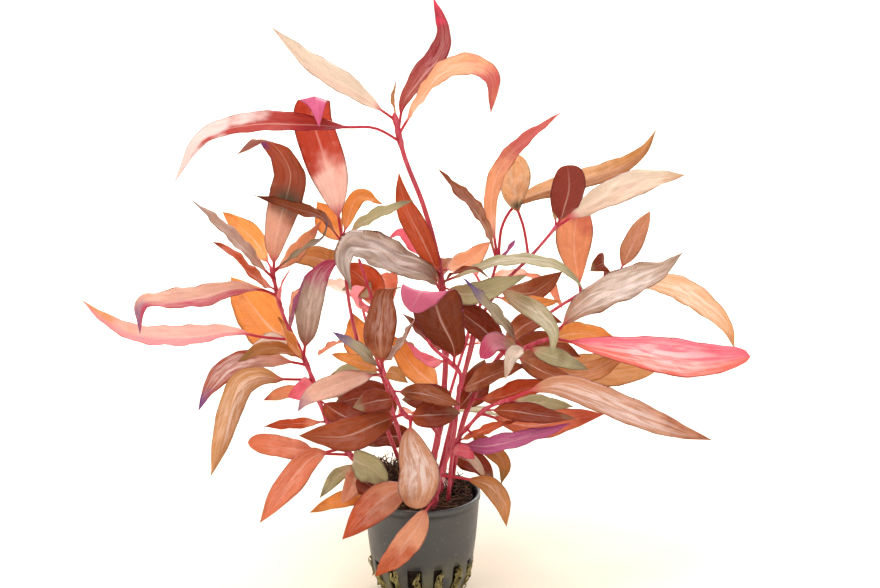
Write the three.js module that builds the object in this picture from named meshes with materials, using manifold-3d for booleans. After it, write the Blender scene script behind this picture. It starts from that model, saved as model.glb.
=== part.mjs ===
import * as THREE from 'three';
import { mergeVertices } from 'three/addons/utils/BufferGeometryUtils.js';
import Module from 'manifold-3d';

// A red-leaved stem plant growing from rock wool in a plastic net pot.
// Millimetres, +Z up, -Y towards the viewer, +X to the viewer's right.
// The origin is the middle of the pot's flat bottom.

// Net pot, the usual 50 mm size
const POT_HEIGHT = 46;
const POT_WALL = 1.2;
const POT_LIP = 0.4;
const POT_SEGMENTS = 20;
// outer wall as [radius, height], from the bottom's edge to under the lip
const POT_WALL_LINE = [[14.5, 0], [17.6, 2.6], [21.4, 12], [23.2, 26], [24.6, 43.6]];
const SLOT_COUNT = 14;
const SLOT_WIDTH = 4;
const SLOT_FOOT = 3;
const SLOT_HEAD = 18.5;
// part of a slot's pitch that the first slot is turned from the front by
const SLOT_TURN = -0.2;

// Rock wool plug, with more room inside the pot because it has fewer sides than the pot
const GAP = 0.35;
const WOOL_ROOM = 0.3;
const WOOL_TOP = 43.2;
const WOOL_EDGE_DROP = 2;
const WOOL_LEVEL_SHARE = 0.7;
const WOOL_FOOT_INSET = 1.5;
const WOOL_SEGMENTS = 14;

// Stems and leaves
const STEM_SIDES = 5;
const STEM_TAPER = 0.3;
const STEM_STEP = 16;
const STEM_FOOT = WOOL_TOP + GAP;
const PETIOLE_RADIUS = 0.7;
const LEAF_THICKNESS = 0.8;
const LEAF_TIP = 0.25;
// part of its thickness that a leaf loses towards its tip
const LEAF_THINNING = 0.6;
const BENT_LEAF_STATIONS = [0, 0.18, 0.38, 0.6, 0.8, 1];
const LEAF_STATIONS = [0, 0.2, 0.45, 0.75, 1];
const SMALL_LEAF_STATIONS = [0, 0.35, 0.7, 1];

// Finishes: colour, roughness
const TINTS = {
  copper: [0xb9553a, 0.5],
  bronze: [0x96533a, 0.45],
  silver: [0xc4aca0, 0.4],
  rose: [0xc08478, 0.45],
  peach: [0xe2b08a, 0.5],
  cream: [0xeccf9f, 0.6],
  amber: [0xe89450, 0.5],
  coral: [0xdd7a60, 0.45],
  magenta: [0xdd5872, 0.4],
  ruby: [0x9c3430, 0.4],
  maroon: [0x6e221c, 0.4],
  olive: [0xa8a07a, 0.5],
  tan: [0xc08a58, 0.5],
};

// Each stem: foot radius and route
const STEMS = {
  tall: { radius: 1.2, route: [[2, 3, STEM_FOOT], [9, 6, 85], [10, 8, 115], [7, 8, 145], [1, 6, 169],
    [-7, 4, 191], [-11, 2, 209]] },
  left: { radius: 1.2, route: [[-10, -8, STEM_FOOT], [-21, -10, 57], [-30, -10, 66], [-39, -8, 79],
    [-48, -2, 103], [-58, 4, 123], [-63, 8, 143]] },
  centre_left: { radius: 1.1, route: [[-5, 7, STEM_FOOT], [-15, 8, 71], [-21, 10, 86], [-26, 10, 104],
    [-30, 8, 124], [-32, 6, 142], [-33, 5, 157]] },
  middle: { radius: 1, route: [[-3, -3, STEM_FOOT], [-10, -4, 75], [-16, -2, 99], [-20, 0, 128],
    [-26, 2, 148]] },
  front: { radius: 1.2, route: [[5, -15, STEM_FOOT], [8, -16, 59], [13, -18, 75], [15, -16, 92],
    [16, -14, 103], [11, -12, 108], [4, -10, 114], [1, -8, 120]] },
  arched: { radius: 1.1, route: [[2, -8, STEM_FOOT], [5, -12, 64], [7, -21, 78], [1, -30, 88],
    [-6, -33, 91], [-10, -32, 98], [-16, -28, 110]] },
  right_upper: { radius: 1.1, route: [[6, 11, STEM_FOOT], [13, 10, 75], [20, 12, 101], [25, 12, 119],
    [33, 12, 133], [46, 14, 146], [58, 16, 160]] },
  centre_right: { radius: 1, route: [[8, -1, STEM_FOOT], [13, 2, 77], [19, 4, 103], [24, 6, 125],
    [29, 6, 137], [32, 6, 148]] },
  right_low: { radius: 1.1, route: [[11, -8, STEM_FOOT], [14, -12, 71], [20, -18, 82], [26, -22, 90],
    [31, -26, 94], [36, -30, 97]] },
  right_middle: { radius: 1.1, route: [[12, 5, STEM_FOOT], [18, 2, 77], [26, -2, 96], [35, -6, 106],
    [45, -10, 114], [56, -14, 119]] },
  right_back: { radius: 1.1, route: [[11, 13, STEM_FOOT], [21, 22, 80], [38, 30, 102], [60, 36, 118],
    [77, 38, 127], [87, 38, 133]] },
  back_left: { radius: 1, route: [[-6, 13, STEM_FOOT], [-13, 28, 72], [-22, 42, 98], [-28, 52, 118]] },
  back_right: { radius: 1, route: [[3, 17, STEM_FOOT], [12, 34, 78], [20, 46, 102], [26, 56, 124]] },
};

const LEAVES = [];

// A leaf grows from its stem at a height, follows a route to its tip, and its blade has a full width.
// turn rolls its upper face towards the viewer, heading is the compass side that it leans to,
// petiole is the part of its length before the blade, and a blunt tip is fuller than a pointed one.
// A leaf without a name is a small one. It is fused to its stem, and only the scene shows its tint.
function leaf(name, stem, height, width, turn, tint, route, more = {}) {
  LEAVES.push({ name, stem, height, width, turn, tint, route, petiole: 0.12, fold: 18, twist: 0,
    blunt: false, ...more });
}

leaf('leaf_top_left', 'tall', 206, 12, 48, 'peach', [[-28, -6, 220], [-44, -12, 231], [-58, -16, 246]]);
leaf('leaf_top_spire', 'tall', 201, 10, 40, 'ruby', [[-7, 8, 212], [0, 8, 222], [7, 4, 231],
  [10, 0, 242], [5, -4, 257]], { fold: 30, heading: 20 });
leaf('leaf_top_right', 'tall', 200, 11, 45, 'peach', [[0, -6, 216], [9, -9, 227], [20, -10, 230],
  [28, -12, 226], [28, -14, 212]]);
leaf('leaf_top_sweep', 'tall', 197, 12, 40, 'ruby', [[-19, -4, 204], [-30, -8, 205], [-48, -14, 207],
  [-67, -20, 208], [-85, -26, 204], [-97, -30, 187]], { petiole: 0.25, twist: -20 });
leaf('', 'tall', 206, 4, 30, 'tan', [[-11, 3, 216], [-10, 2, 223]]);
leaf('leaf_tall_side', 'tall', 140, 10, 10, 'copper', [[5, -2, 147], [0, -3, 158], [-5, -3, 168],
  [-8, -5, 178], [-9, -6, 186]], { heading: 100 });
leaf('leaf_silver_fold', 'tall', 131, 14, 68, 'silver', [[2, -6, 144], [-9, -12, 150], [-20, -18, 157],
  [-29, -24, 160], [-31, -28, 154], [-28, -28, 144]]);
leaf('leaf_bridge', 'tall', 136, 6, 40, 'olive', [[20, -4, 144], [32, -8, 149], [44, -12, 151],
  [56, -16, 149], [62, -18, 145], [66, -20, 140]]);
leaf('', 'tall', 134, 10, 60, 'olive', [[20, -7, 135], [32, -10, 139], [43, -14, 145]]);
leaf('', 'tall', 136, 5, 40, 'olive', [[5, 6, 142], [-2, 4, 148]]);
leaf('', 'tall', 145, 7, 40, 'magenta', [[-1, 12, 149], [-9, 13, 156], [-14, 12, 154]]);
leaf('', 'tall', 141, 10, 40, 'peach', [[18, 16, 142], [29, 22, 150]]);
leaf('', 'tall', 106, 9, 30, 'maroon', [[3, 2, 112], [-8, 0, 125]]);
leaf('', 'tall', 88, 13, 30, 'amber', [[-4, 22, 95], [-13, 28, 107]]);
leaf('', 'tall', 135, 3, 40, 'maroon', [[14, -10, 145], [22, -14, 148], [28, -16, 144]]);

leaf('leaf_left_curl', 'left', 138, 13, 0, 'bronze', [[-60, -4, 157], [-56, -5, 172], [-53, -6, 186],
  [-59, -10, 198], [-65, -14, 201], [-73, -18, 196]], { heading: 80 });
leaf('leaf_left_upper', 'left', 138, 9, 45, 'rose', [[-70, -4, 150], [-79, -8, 161], [-92, -14, 176]]);
leaf('leaf_left_arch', 'left', 131, 11, 35, 'rose', [[-66, -4, 136], [-76, -10, 138], [-90, -16, 136],
  [-104, -22, 136], [-112, -26, 136], [-113, -30, 125]], { petiole: 0.18 });
leaf('leaf_left_low', 'left', 113, 10, 40, 'coral', [[-67, 2, 114], [-79, 6, 115], [-98, 12, 111],
  [-122, 16, 111], [-135, 18, 117], [-145, 20, 125]], { petiole: 0.2 });
leaf('leaf_left_amber', 'left', 114, 21, 50, 'amber', [[-65, 25, 111], [-74, 36, 118], [-84, 47, 128]]);
leaf('leaf_left_middle', 'left', 103, 10, 40, 'rose', [[-58, -6, 106], [-69, -12, 108], [-79, -18, 106],
  [-86, -22, 100], [-91, -26, 91]]);
leaf('leaf_left_hang', 'left', 97, 11, 45, 'tan', [[-59, -15, 101], [-67, -22, 104], [-73, -25, 102],
  [-77, -27, 94], [-80, -29, 84], [-86, -32, 65]], { petiole: 0.2 });
leaf('leaf_left_inner', 'left', 106, 11, 0, 'silver', [[-47, -10, 122], [-45, -13, 134], [-42, -15, 145],
  [-37, -18, 151], [-30, -21, 154]], { heading: 85 });
leaf('leaf_low_spatulate', 'left', 66, 10, 60, 'coral', [[-44, -16, 69], [-54, -22, 73], [-71, -28, 78]],
  { petiole: 0.3, blunt: true });
leaf('leaf_low_left', 'left', 69, 11, 60, 'coral', [[-45, -22, 69], [-54, -28, 61], [-66, -36, 46]],
  { petiole: 0.2 });
leaf('', 'left', 133, 10, 48, 'copper', [[-70, -14, 146], [-76, -20, 155], [-83, -26, 162]]);
leaf('', 'left', 141, 4, 40, 'plum', [[-48, -6, 154], [-40, -10, 160], [-38, -12, 167], [-40, -14, 171]]);
leaf('', 'left', 140, 8, 60, 'peach', [[-49, 2, 153], [-41, 2, 164]]);
leaf('', 'left', 142, 10, 50, 'amber', [[-71, 24, 150], [-86, 40, 159]]);
leaf('', 'left', 111, 11, 45, 'cream', [[-68, 13, 106], [-78, 21, 96]]);
leaf('', 'left', 92, 6, 50, 'peach', [[-57, -6, 92], [-66, -10, 90]]);
leaf('', 'left', 96, 10, 50, 'magenta', [[-48, -14, 96], [-55, -18, 94]]);
leaf('', 'left', 80, 5, 50, 'copper', [[-54, -14, 81], [-65, -20, 82]]);
leaf('', 'left', 128, 4, 50, 'magenta', [[-57, -6, 140], [-53, -8, 147]]);
leaf('', 'left', 117, 7, 50, 'plum', [[-51, -14, 132], [-47, -17, 146]]);
leaf('', 'left', 104, 10, 50, 'amber', [[-55, -10, 116], [-59, -12, 127]]);
leaf('', 'left', 89, 11, 40, 'maroon', [[-31, -20, 86], [-15, -25, 84]]);
leaf('', 'left', 92, 5, 60, 'magenta', [[-38, -16, 96], [-30, -20, 97]]);
leaf('', 'left', 63, 6, 40, 'olive', [[-36, -20, 59], [-42, -26, 53]]);
leaf('', 'left', 61, 9, 50, 'copper', [[-29, -22, 57], [-33, -30, 52]]);
leaf('', 'left', 65, 13, 75, 'olive', [[-26, -22, 67], [-20, -27, 66], [-14, -30, 61]], { blunt: true });
leaf('', 'left', 50, 8, 50, 'amber', [[-20, -18, 52], [-34, -24, 51], [-46, -30, 48]]);
leaf('', 'left', 62, 11, 50, 'maroon', [[-23, -22, 58], [-15, -26, 56]]);
leaf('', 'left', 105, 6, 50, 'tan', [[-59, -8, 112], [-67, -14, 113], [-75, -20, 110]]);

leaf('leaf_fan', 'centre_left', 155, 18, 0, 'copper', [[-35, 4, 170], [-37, 4, 181], [-41, 3, 195],
  [-44, 0, 207], [-43, -8, 217], [-41, -18, 217], [-40, -23, 208]], { heading: 95 });
leaf('', 'centre_left', 154, 7, 40, 'bronze', [[-41, -5, 167], [-50, -12, 172], [-67, -17, 179]]);
leaf('', 'centre_left', 156, 7, 45, 'amber', [[-26, 11, 172], [-16, 15, 168]]);
leaf('', 'centre_left', 153, 11, 50, 'amber', [[-38, 14, 160], [-44, 20, 168]]);
leaf('', 'centre_left', 155, 7, 45, 'olive', [[-23, -4, 165], [-13, -9, 171], [-3, -13, 176]]);
leaf('', 'centre_left', 102, 15, 50, 'amber', [[-27, 22, 108], [-30, 28, 117]]);
leaf('', 'centre_left', 82, 13, 50, 'amber', [[-28, 20, 80], [-38, 24, 83]]);
leaf('', 'centre_left', 151, 10, 50, 'tan', [[-39, 16, 143], [-47, 20, 144], [-57, 24, 141]]);

leaf('leaf_centre_upright', 'middle', 101, 13, 0, 'bronze', [[-17, -12, 115], [-16, -17, 129],
  [-14, -20, 140], [-8, -25, 143]], { heading: 85 });
leaf('', 'middle', 104, 9, 50, 'silver', [[-8, -16, 116], [-2, -20, 129]]);
leaf('', 'middle', 128, 9, 50, 'magenta', [[-26, -8, 130], [-28, -12, 137], [-23, -14, 140]]);
leaf('', 'middle', 130, 10, 50, 'olive', [[-27, 14, 134], [-34, 18, 130]]);
leaf('', 'middle', 125, 13, 50, 'copper', [[-21, 8, 133], [-27, 10, 139], [-34, 12, 143]]);
leaf('', 'middle', 97, 6, 50, 'olive', [[-21, -6, 101], [-29, -8, 103], [-39, -10, 100]]);
leaf('', 'middle', 77, 14, 50, 'maroon', [[-16, 2, 84], [-25, 2, 87], [-37, 0, 85]]);

leaf('leaf_centre_pink', 'front', 106, 19, 10, 'ruby', [[13, -24, 118], [8, -31, 131], [4, -35, 143],
  [0, -42, 145], [-4, -47, 139]], { heading: 100, fold: 2, blunt: true });
leaf('leaf_low_front', 'front', 53, 13, 55, 'copper', [[-6, -26, 57], [-14, -32, 56], [-21, -38, 52],
  [-32, -44, 42]], { petiole: 0.3 });
leaf('leaf_on_pot', 'front', 48, 12, 60, 'coral', [[2, -30, 49], [-1, -36, 45], [-8, -38, 36],
  [-19, -38, 23]], { petiole: 0.3 });
leaf('leaf_pot_right', 'front', 59, 8, 45, 'peach', [[20, -26, 61], [28, -31, 60], [33, -34, 54],
  [35, -35, 44]], { petiole: 0.35 });
leaf('', 'front', 108, 6, 50, 'magenta', [[2, -19, 110], [-6, -23, 119]]);
leaf('', 'front', 71, 6, 50, 'magenta', [[18, -23, 72], [22, -26, 70]]);

leaf('leaf_front_hang', 'arched', 90, 16, 0, 'silver', [[-4, -40, 84], [-1, -44, 72], [-2, -46, 56]],
  { heading: -90, blunt: true });
leaf('leaf_front_left', 'arched', 92, 14, 55, 'bronze', [[-17, -42, 91], [-30, -49, 88],
  [-48, -54, 90]]);
leaf('', 'arched', 108, 10, 50, 'rose', [[-30, -34, 106], [-40, -40, 104], [-46, -43, 101],
  [-49, -45, 97]]);
leaf('', 'arched', 109, 6, 50, 'plum', [[-24, -35, 119], [-35, -38, 128]]);
leaf('', 'arched', 108, 6, 50, 'amber', [[-25, -31, 113], [-36, -32, 117]]);
leaf('', 'arched', 107, 6, 50, 'tan', [[-11, -38, 111], [-5, -42, 108]]);
leaf('', 'arched', 101, 8, 50, 'maroon', [[1, -38, 102], [16, -43, 99]]);
leaf('', 'arched', 91, 13, 50, 'maroon', [[4, -38, 93], [16, -38, 94]]);
leaf('', 'arched', 98, 11, 50, 'maroon', [[-18, -41, 100], [-27, -46, 99]]);

leaf('leaf_dried', 'right_upper', 145, 13, 0, 'cream', [[43, 19, 157], [40, 22, 166], [39, 23, 176],
  [40, 22, 188]], { heading: 90, petiole: 0.45, blunt: true });
leaf('leaf_right_cream', 'right_upper', 158, 12, 55, 'cream', [[65, 19, 163], [76, 23, 169],
  [93, 28, 175], [112, 32, 177]]);
leaf('leaf_right_maroon', 'right_upper', 159, 14, 0, 'maroon', [[59, 9, 167], [61, 6, 177],
  [60, 4, 187]], { heading: -90, blunt: true });
leaf('', 'right_upper', 158, 4, 40, 'olive', [[56, 16, 172], [57, 16, 182]]);
leaf('', 'right_upper', 133, 10, 50, 'bronze', [[46, 20, 128], [60, 26, 136]]);
leaf('', 'right_upper', 129, 7, 50, 'amber', [[46, 10, 126], [58, 8, 128]]);
leaf('', 'right_upper', 77, 13, 40, 'maroon', [[22, 17, 86], [27, 22, 98]]);

leaf('leaf_centre_sickle', 'centre_right', 147, 7, 0, 'coral', [[30, 8, 158], [29, 10, 169],
  [31, 12, 180], [36, 14, 188], [43, 16, 195], [51, 18, 201], [58, 20, 206]], { heading: 70 });
leaf('leaf_centre_up', 'centre_right', 146, 10, 45, 'silver', [[27, 0, 160], [20, -4, 172],
  [13, -6, 180], [7, -8, 188]]);
leaf('leaf_right_high', 'centre_right', 148, 9, 50, 'amber', [[34, 16, 159], [40, 24, 166],
  [52, 32, 170], [72, 40, 174], [88, 46, 179], [96, 48, 185], [101, 50, 193]], { petiole: 0.25 });
leaf('leaf_right_bend', 'centre_right', 137, 8, 50, 'olive', [[40, -3, 131], [49, -11, 127],
  [54, -19, 122], [53, -25, 114]]);
leaf('', 'centre_right', 145, 4, 40, 'plum', [[36, 3, 151], [39, 2, 156]]);
leaf('', 'centre_right', 77, 12, 40, 'maroon', [[10, -4, 88], [6, -6, 96]]);
leaf('', 'centre_right', 90, 13, 40, 'bronze', [[23, -5, 96], [33, -9, 102], [43, -13, 106]]);
leaf('', 'centre_right', 129, 6, 30, 'ruby', [[17, -4, 131], [10, -8, 130], [3, -10, 127]]);

leaf('leaf_right_low', 'right_low', 97, 12, 50, 'coral', [[44, -34, 102], [55, -40, 106],
  [67, -46, 104], [79, -50, 100], [91, -54, 96], [102, -58, 93], [114, -62, 91]]);
leaf('leaf_right_mauve', 'right_low', 72, 8, 50, 'magenta', [[28, -30, 77], [40, -36, 82],
  [52, -40, 87], [60, -42, 91]]);
leaf('leaf_right_orange', 'right_low', 88, 12, 55, 'amber', [[44, -16, 81], [60, -12, 82],
  [76, -10, 84]]);
leaf('', 'right_low', 90, 8, 55, 'maroon', [[38, -33, 93], [50, -39, 93], [62, -42, 93]]);
leaf('', 'right_low', 96, 6, 50, 'olive', [[48, -28, 95], [62, -30, 94]]);
leaf('', 'front', 90, 12, 50, 'maroon', [[7, -23, 95], [-8, -21, 94]]);
leaf('', 'right_low', 80, 7, 50, 'tan', [[28, -24, 74], [34, -26, 68], [33, -28, 60]]);
leaf('', 'right_low', 68, 4, 50, 'cream', [[20, -15, 67], [27, -20, 59]]);
leaf('', 'right_low', 73, 5, 40, 'copper', [[24, -22, 80], [31, -26, 84], [39, -30, 88]]);

leaf('leaf_right_pink', 'right_middle', 118, 15, 55, 'magenta', [[73, -22, 117], [92, -30, 116],
  [112, -36, 115], [131, -42, 119]], { blunt: true, petiole: 0.1 });
leaf('leaf_right_silver', 'right_middle', 118, 14, 55, 'silver', [[64, -16, 131], [77, -18, 139],
  [89, -20, 145], [98, -22, 150], [105, -24, 157]]);
leaf('leaf_right_tan', 'right_middle', 106, 10, 50, 'tan', [[56, -8, 101], [69, -10, 102],
  [80, -13, 108], [87, -15, 115]]);
leaf('leaf_right_amber', 'right_middle', 104, 14, 55, 'amber', [[58, 8, 98], [76, 14, 95],
  [101, 18, 96]], { blunt: true });
leaf('', 'right_middle', 116, 10, 50, 'amber', [[66, 0, 116], [84, 4, 111]]);
leaf('', 'right_middle', 113, 8, 50, 'olive', [[56, -19, 111], [68, -24, 108]]);
leaf('', 'right_middle', 109, 8, 50, 'bronze', [[52, -24, 106], [64, -32, 105]]);
leaf('', 'right_middle', 112, 10, 45, 'bronze', [[32, -18, 127], [25, -23, 136], [17, -26, 147]]);
leaf('', 'right_middle', 107, 14, 50, 'maroon', [[27, -9, 119], [16, -10, 128], [8, -12, 131]]);
leaf('', 'right_middle', 113, 6, 40, 'cream', [[37, -22, 113], [34, -28, 105]]);
leaf('', 'right_middle', 112, 8, 60, 'magenta', [[34, -17, 117], [29, -23, 119], [24, -28, 114]],
  { blunt: true });
leaf('', 'right_middle', 106, 12, 50, 'bronze', [[44, 6, 107], [55, 8, 108], [67, 6, 104]]);
leaf('', 'right_middle', 87, 10, 50, 'copper', [[33, -6, 90], [45, -9, 95], [57, -11, 98]]);

leaf('leaf_right_upright', 'right_back', 123, 15, 0, 'coral', [[67, 42, 134], [66, 44, 146],
  [68, 46, 162]], { heading: 90, blunt: true });
leaf('leaf_right_droop', 'right_back', 131, 11, 45, 'peach', [[94, 31, 130], [104, 26, 130],
  [114, 22, 127], [122, 18, 122], [129, 15, 115], [133, 12, 106]]);
leaf('', 'right_back', 132, 9, 45, 'rose', [[91, 42, 143], [99, 46, 158]]);
leaf('', 'right_back', 128, 10, 50, 'maroon', [[78, 32, 138], [72, 27, 136]]);
leaf('', 'right_back', 57, 11, 50, 'maroon', [[17, 24, 52], [25, 22, 49], [31, 16, 44]]);
leaf('', 'right_back', 98, 10, 50, 'bronze', [[42, 30, 109], [53, 34, 113], [61, 34, 111]]);

leaf('leaf_back_left', 'back_left', 116, 14, 0, 'rose', [[-42, 66, 119], [-54, 78, 112],
  [-62, 86, 98]]);
leaf('leaf_back_middle', 'back_left', 117, 14, 0, 'copper', [[-24, 68, 122], [-18, 84, 118],
  [-14, 96, 104]]);
leaf('', 'back_left', 98, 11, 0, 'coral', [[-36, 54, 96], [-48, 66, 86]]);
leaf('', 'back_left', 96, 11, 0, 'bronze', [[-12, 56, 96], [-4, 68, 86]]);
leaf('', 'back_left', 74, 11, 0, 'tan', [[-26, 40, 74], [-40, 50, 68]]);
leaf('', 'back_left', 70, 11, 0, 'copper', [[-4, 40, 68], [0, 54, 58]]);
leaf('', 'back_left', 54, 12, 50, 'maroon', [[-8, 20, 62], [-16, 18, 64], [-24, 12, 62]]);
leaf('leaf_back_right', 'back_right', 122, 14, 0, 'coral', [[40, 66, 124], [54, 76, 118],
  [64, 84, 103]]);
leaf('leaf_back_centre', 'back_right', 123, 14, 0, 'bronze', [[20, 72, 128], [12, 86, 125],
  [6, 97, 112]]);
leaf('', 'back_right', 98, 11, 0, 'rose', [[38, 54, 96], [54, 62, 88]]);
leaf('', 'back_right', 100, 11, 0, 'copper', [[16, 64, 94], [14, 78, 84]]);
leaf('', 'back_right', 72, 11, 0, 'olive', [[28, 38, 68], [40, 48, 61]]);
leaf('', 'back_right', 53, 11, 50, 'bronze', [[-1, 25, 50], [-8, 22, 47], [-15, 19, 49]]);

const wasm = await Module();
wasm.setup();

function vector(point) {
  return new THREE.Vector3(...point);
}

// A closed skin over rings that all have the same number of points, with a flat cap at each end.
// Neighbouring quads are split the other way round, so both skins of a leaf bend along the same lines.
function loft(rings) {
  const sides = rings[0].length;
  const last = rings.length - 1;
  const faces = [];
  for (let ring = 0; ring < last; ring += 1) {
    for (let side = 0; side < sides; side += 1) {
      const here = ring * sides + side;
      const beside = ring * sides + (side + 1) % sides;
      if (side % 2 === 0) {
        faces.push(here, beside, beside + sides, here, beside + sides, here + sides);
      } else {
        faces.push(here, beside, here + sides, beside, beside + sides, here + sides);
      }
    }
  }
  for (let side = 1; side < sides - 1; side += 1) {
    faces.push(0, side + 1, side);
    faces.push(last * sides, last * sides + side, last * sides + side + 1);
  }
  const geometry = new THREE.BufferGeometry();
  const coordinates = rings.flat().flatMap((point) => point.toArray());
  geometry.setAttribute('position', new THREE.Float32BufferAttribute(coordinates, 3));
  geometry.setIndex(faces);
  return geometry;
}

// A solid for joining and cutting, from a geometry's positions alone.
function solid(geometry) {
  const bare = new THREE.BufferGeometry();
  bare.setAttribute('position', geometry.getAttribute('position'));
  bare.setIndex(geometry.getIndex());
  const merged = mergeVertices(bare, 1e-4);
  return new wasm.Manifold(new wasm.Mesh({
    numProp: 3,
    vertProperties: new Float32Array(merged.getAttribute('position').array),
    triVerts: new Uint32Array(merged.getIndex().array),
  }));
}

function geometryOf(manifold) {
  const mesh = manifold.getMesh();
  const geometry = new THREE.BufferGeometry();
  geometry.setAttribute('position', new THREE.BufferAttribute(new Float32Array(mesh.vertProperties), 3));
  geometry.setIndex(new THREE.BufferAttribute(new Uint32Array(mesh.triVerts), 1));
  return geometry;
}

function part(name, geometry, color, roughness) {
  geometry.computeVertexNormals();
  const material = new THREE.MeshStandardMaterial({ color, roughness, metalness: 0, flatShading: true });
  const mesh = new THREE.Mesh(geometry, material);
  mesh.name = name;
  return mesh;
}

function routeCurve(points) {
  return new THREE.CatmullRomCurve3(points.map(vector), false, 'centripetal');
}

// A profile of [radius, height] points turned about the pot's axis.
function turned(profile, segments) {
  const lathe = new THREE.LatheGeometry(profile.map(([r, z]) => new THREE.Vector2(r, z)), segments);
  return solid(lathe.rotateX(Math.PI / 2));
}

// The pot's wall narrows down to a rounded foot and has a square lip at the top.
function potGeometry() {
  const [wallTop, lipFoot] = POT_WALL_LINE.at(-1);
  const outer = [[0, 0], ...POT_WALL_LINE, [wallTop + POT_LIP, lipFoot], [wallTop + POT_LIP, POT_HEIGHT]];
  const inner = POT_WALL_LINE.slice(1).map(([r, z]) => [r - POT_WALL, z]).reverse();
  const floorEdge = POT_WALL_LINE[0][0] - POT_WALL / 2;
  const inside = [[wallTop - POT_WALL, POT_HEIGHT], ...inner, [floorEdge, POT_WALL], [0, POT_WALL]];
  let pot = turned([...outer, ...inside], POT_SEGMENTS);
  const middle = (POT_WALL_LINE[0][0] + wallTop) / 2;
  for (let slot = 0; slot < SLOT_COUNT; slot += 1) {
    const cutter = new THREE.BoxGeometry(SLOT_WIDTH, wallTop, SLOT_HEAD - SLOT_FOOT);
    cutter.translate(0, -middle, (SLOT_HEAD + SLOT_FOOT) / 2);
    cutter.rotateZ((slot + SLOT_TURN) * 2 * Math.PI / SLOT_COUNT);
    pot = pot.subtract(solid(cutter));
  }
  return geometryOf(pot);
}

// The plug fills the pot to just under the rim, a gap clear of the wall, with a slightly sunken edge.
function woolGeometry() {
  const clear = POT_WALL + GAP;
  const side = POT_WALL_LINE.slice(1, -1)
    .map(([r, z]) => [r - clear - WOOL_ROOM, Math.max(z, clear + WOOL_ROOM)]);
  const [edge] = POT_WALL_LINE.at(-1);
  const profile = [[0, clear], [side[0][0] - WOOL_FOOT_INSET, clear], ...side,
    [edge - clear - WOOL_ROOM, WOOL_TOP - WOOL_EDGE_DROP], [edge * WOOL_LEVEL_SHARE, WOOL_TOP],
    [0, WOOL_TOP]];
  return geometryOf(turned(profile, WOOL_SEGMENTS));
}

// A stem's middle line as straight stretches, at steps of about the same length.
function stemAxis({ route }) {
  const curve = routeCurve(route);
  return curve.getSpacedPoints(Math.ceil(curve.getLength() / STEM_STEP));
}

const stemAxes = Object.fromEntries(Object.entries(STEMS).map(([name, stem]) => [name, stemAxis(stem)]));

function stemRadius(name, share) {
  return STEMS[name].radius * (1 - STEM_TAPER * share);
}

// Five-sided tube that narrows towards the shoot's tip. Its foot is cut level.
function stemGeometry(name) {
  const axis = stemAxes[name];
  const last = axis.length - 1;
  const rings = axis.map((centre, step) => {
    const ahead = axis[Math.min(step + 1, last)];
    const along = step === 0 ? new THREE.Vector3(0, 0, 1) : ahead.clone().sub(axis[step - 1]).normalize();
    const across = new THREE.Vector3(1, 0, 0).projectOnPlane(along).normalize();
    const upward = along.clone().cross(across);
    const radius = stemRadius(name, step / last);
    return Array.from({ length: STEM_SIDES }, (_, side) => {
      const angle = side * 2 * Math.PI / STEM_SIDES;
      return centre.clone()
        .addScaledVector(across, radius * Math.cos(angle))
        .addScaledVector(upward, radius * Math.sin(angle));
    });
  });
  return loft(rings);
}

// Where a stem's middle line passes a height, which way it runs there and how thick it is.
// Every stem only rises.
function stemAt(name, height) {
  const axis = stemAxes[name];
  const found = axis.findIndex((point) => point.z >= height);
  const step = found < 0 ? axis.length - 1 : Math.max(found, 1);
  const below = axis[step - 1];
  const above = axis[step];
  const share = Math.min(1, (height - below.z) / (above.z - below.z));
  return {
    foot: below.clone().lerp(above, share),
    along: above.clone().sub(below).normalize(),
    radius: stemRadius(name, (step - 1 + share) / (axis.length - 1)),
  };
}

// Half the blade's width at a share of its length, nothing at both ends and full before the middle.
function bladeHalfWidth(width, share, blunt) {
  const rise = 0.8;
  const fall = blunt ? 0.5 : 1;
  const peak = rise / (rise + fall);
  const full = peak ** rise * (1 - peak) ** fall;
  return width / 2 * share ** rise * (1 - share) ** fall / full;
}

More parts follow.
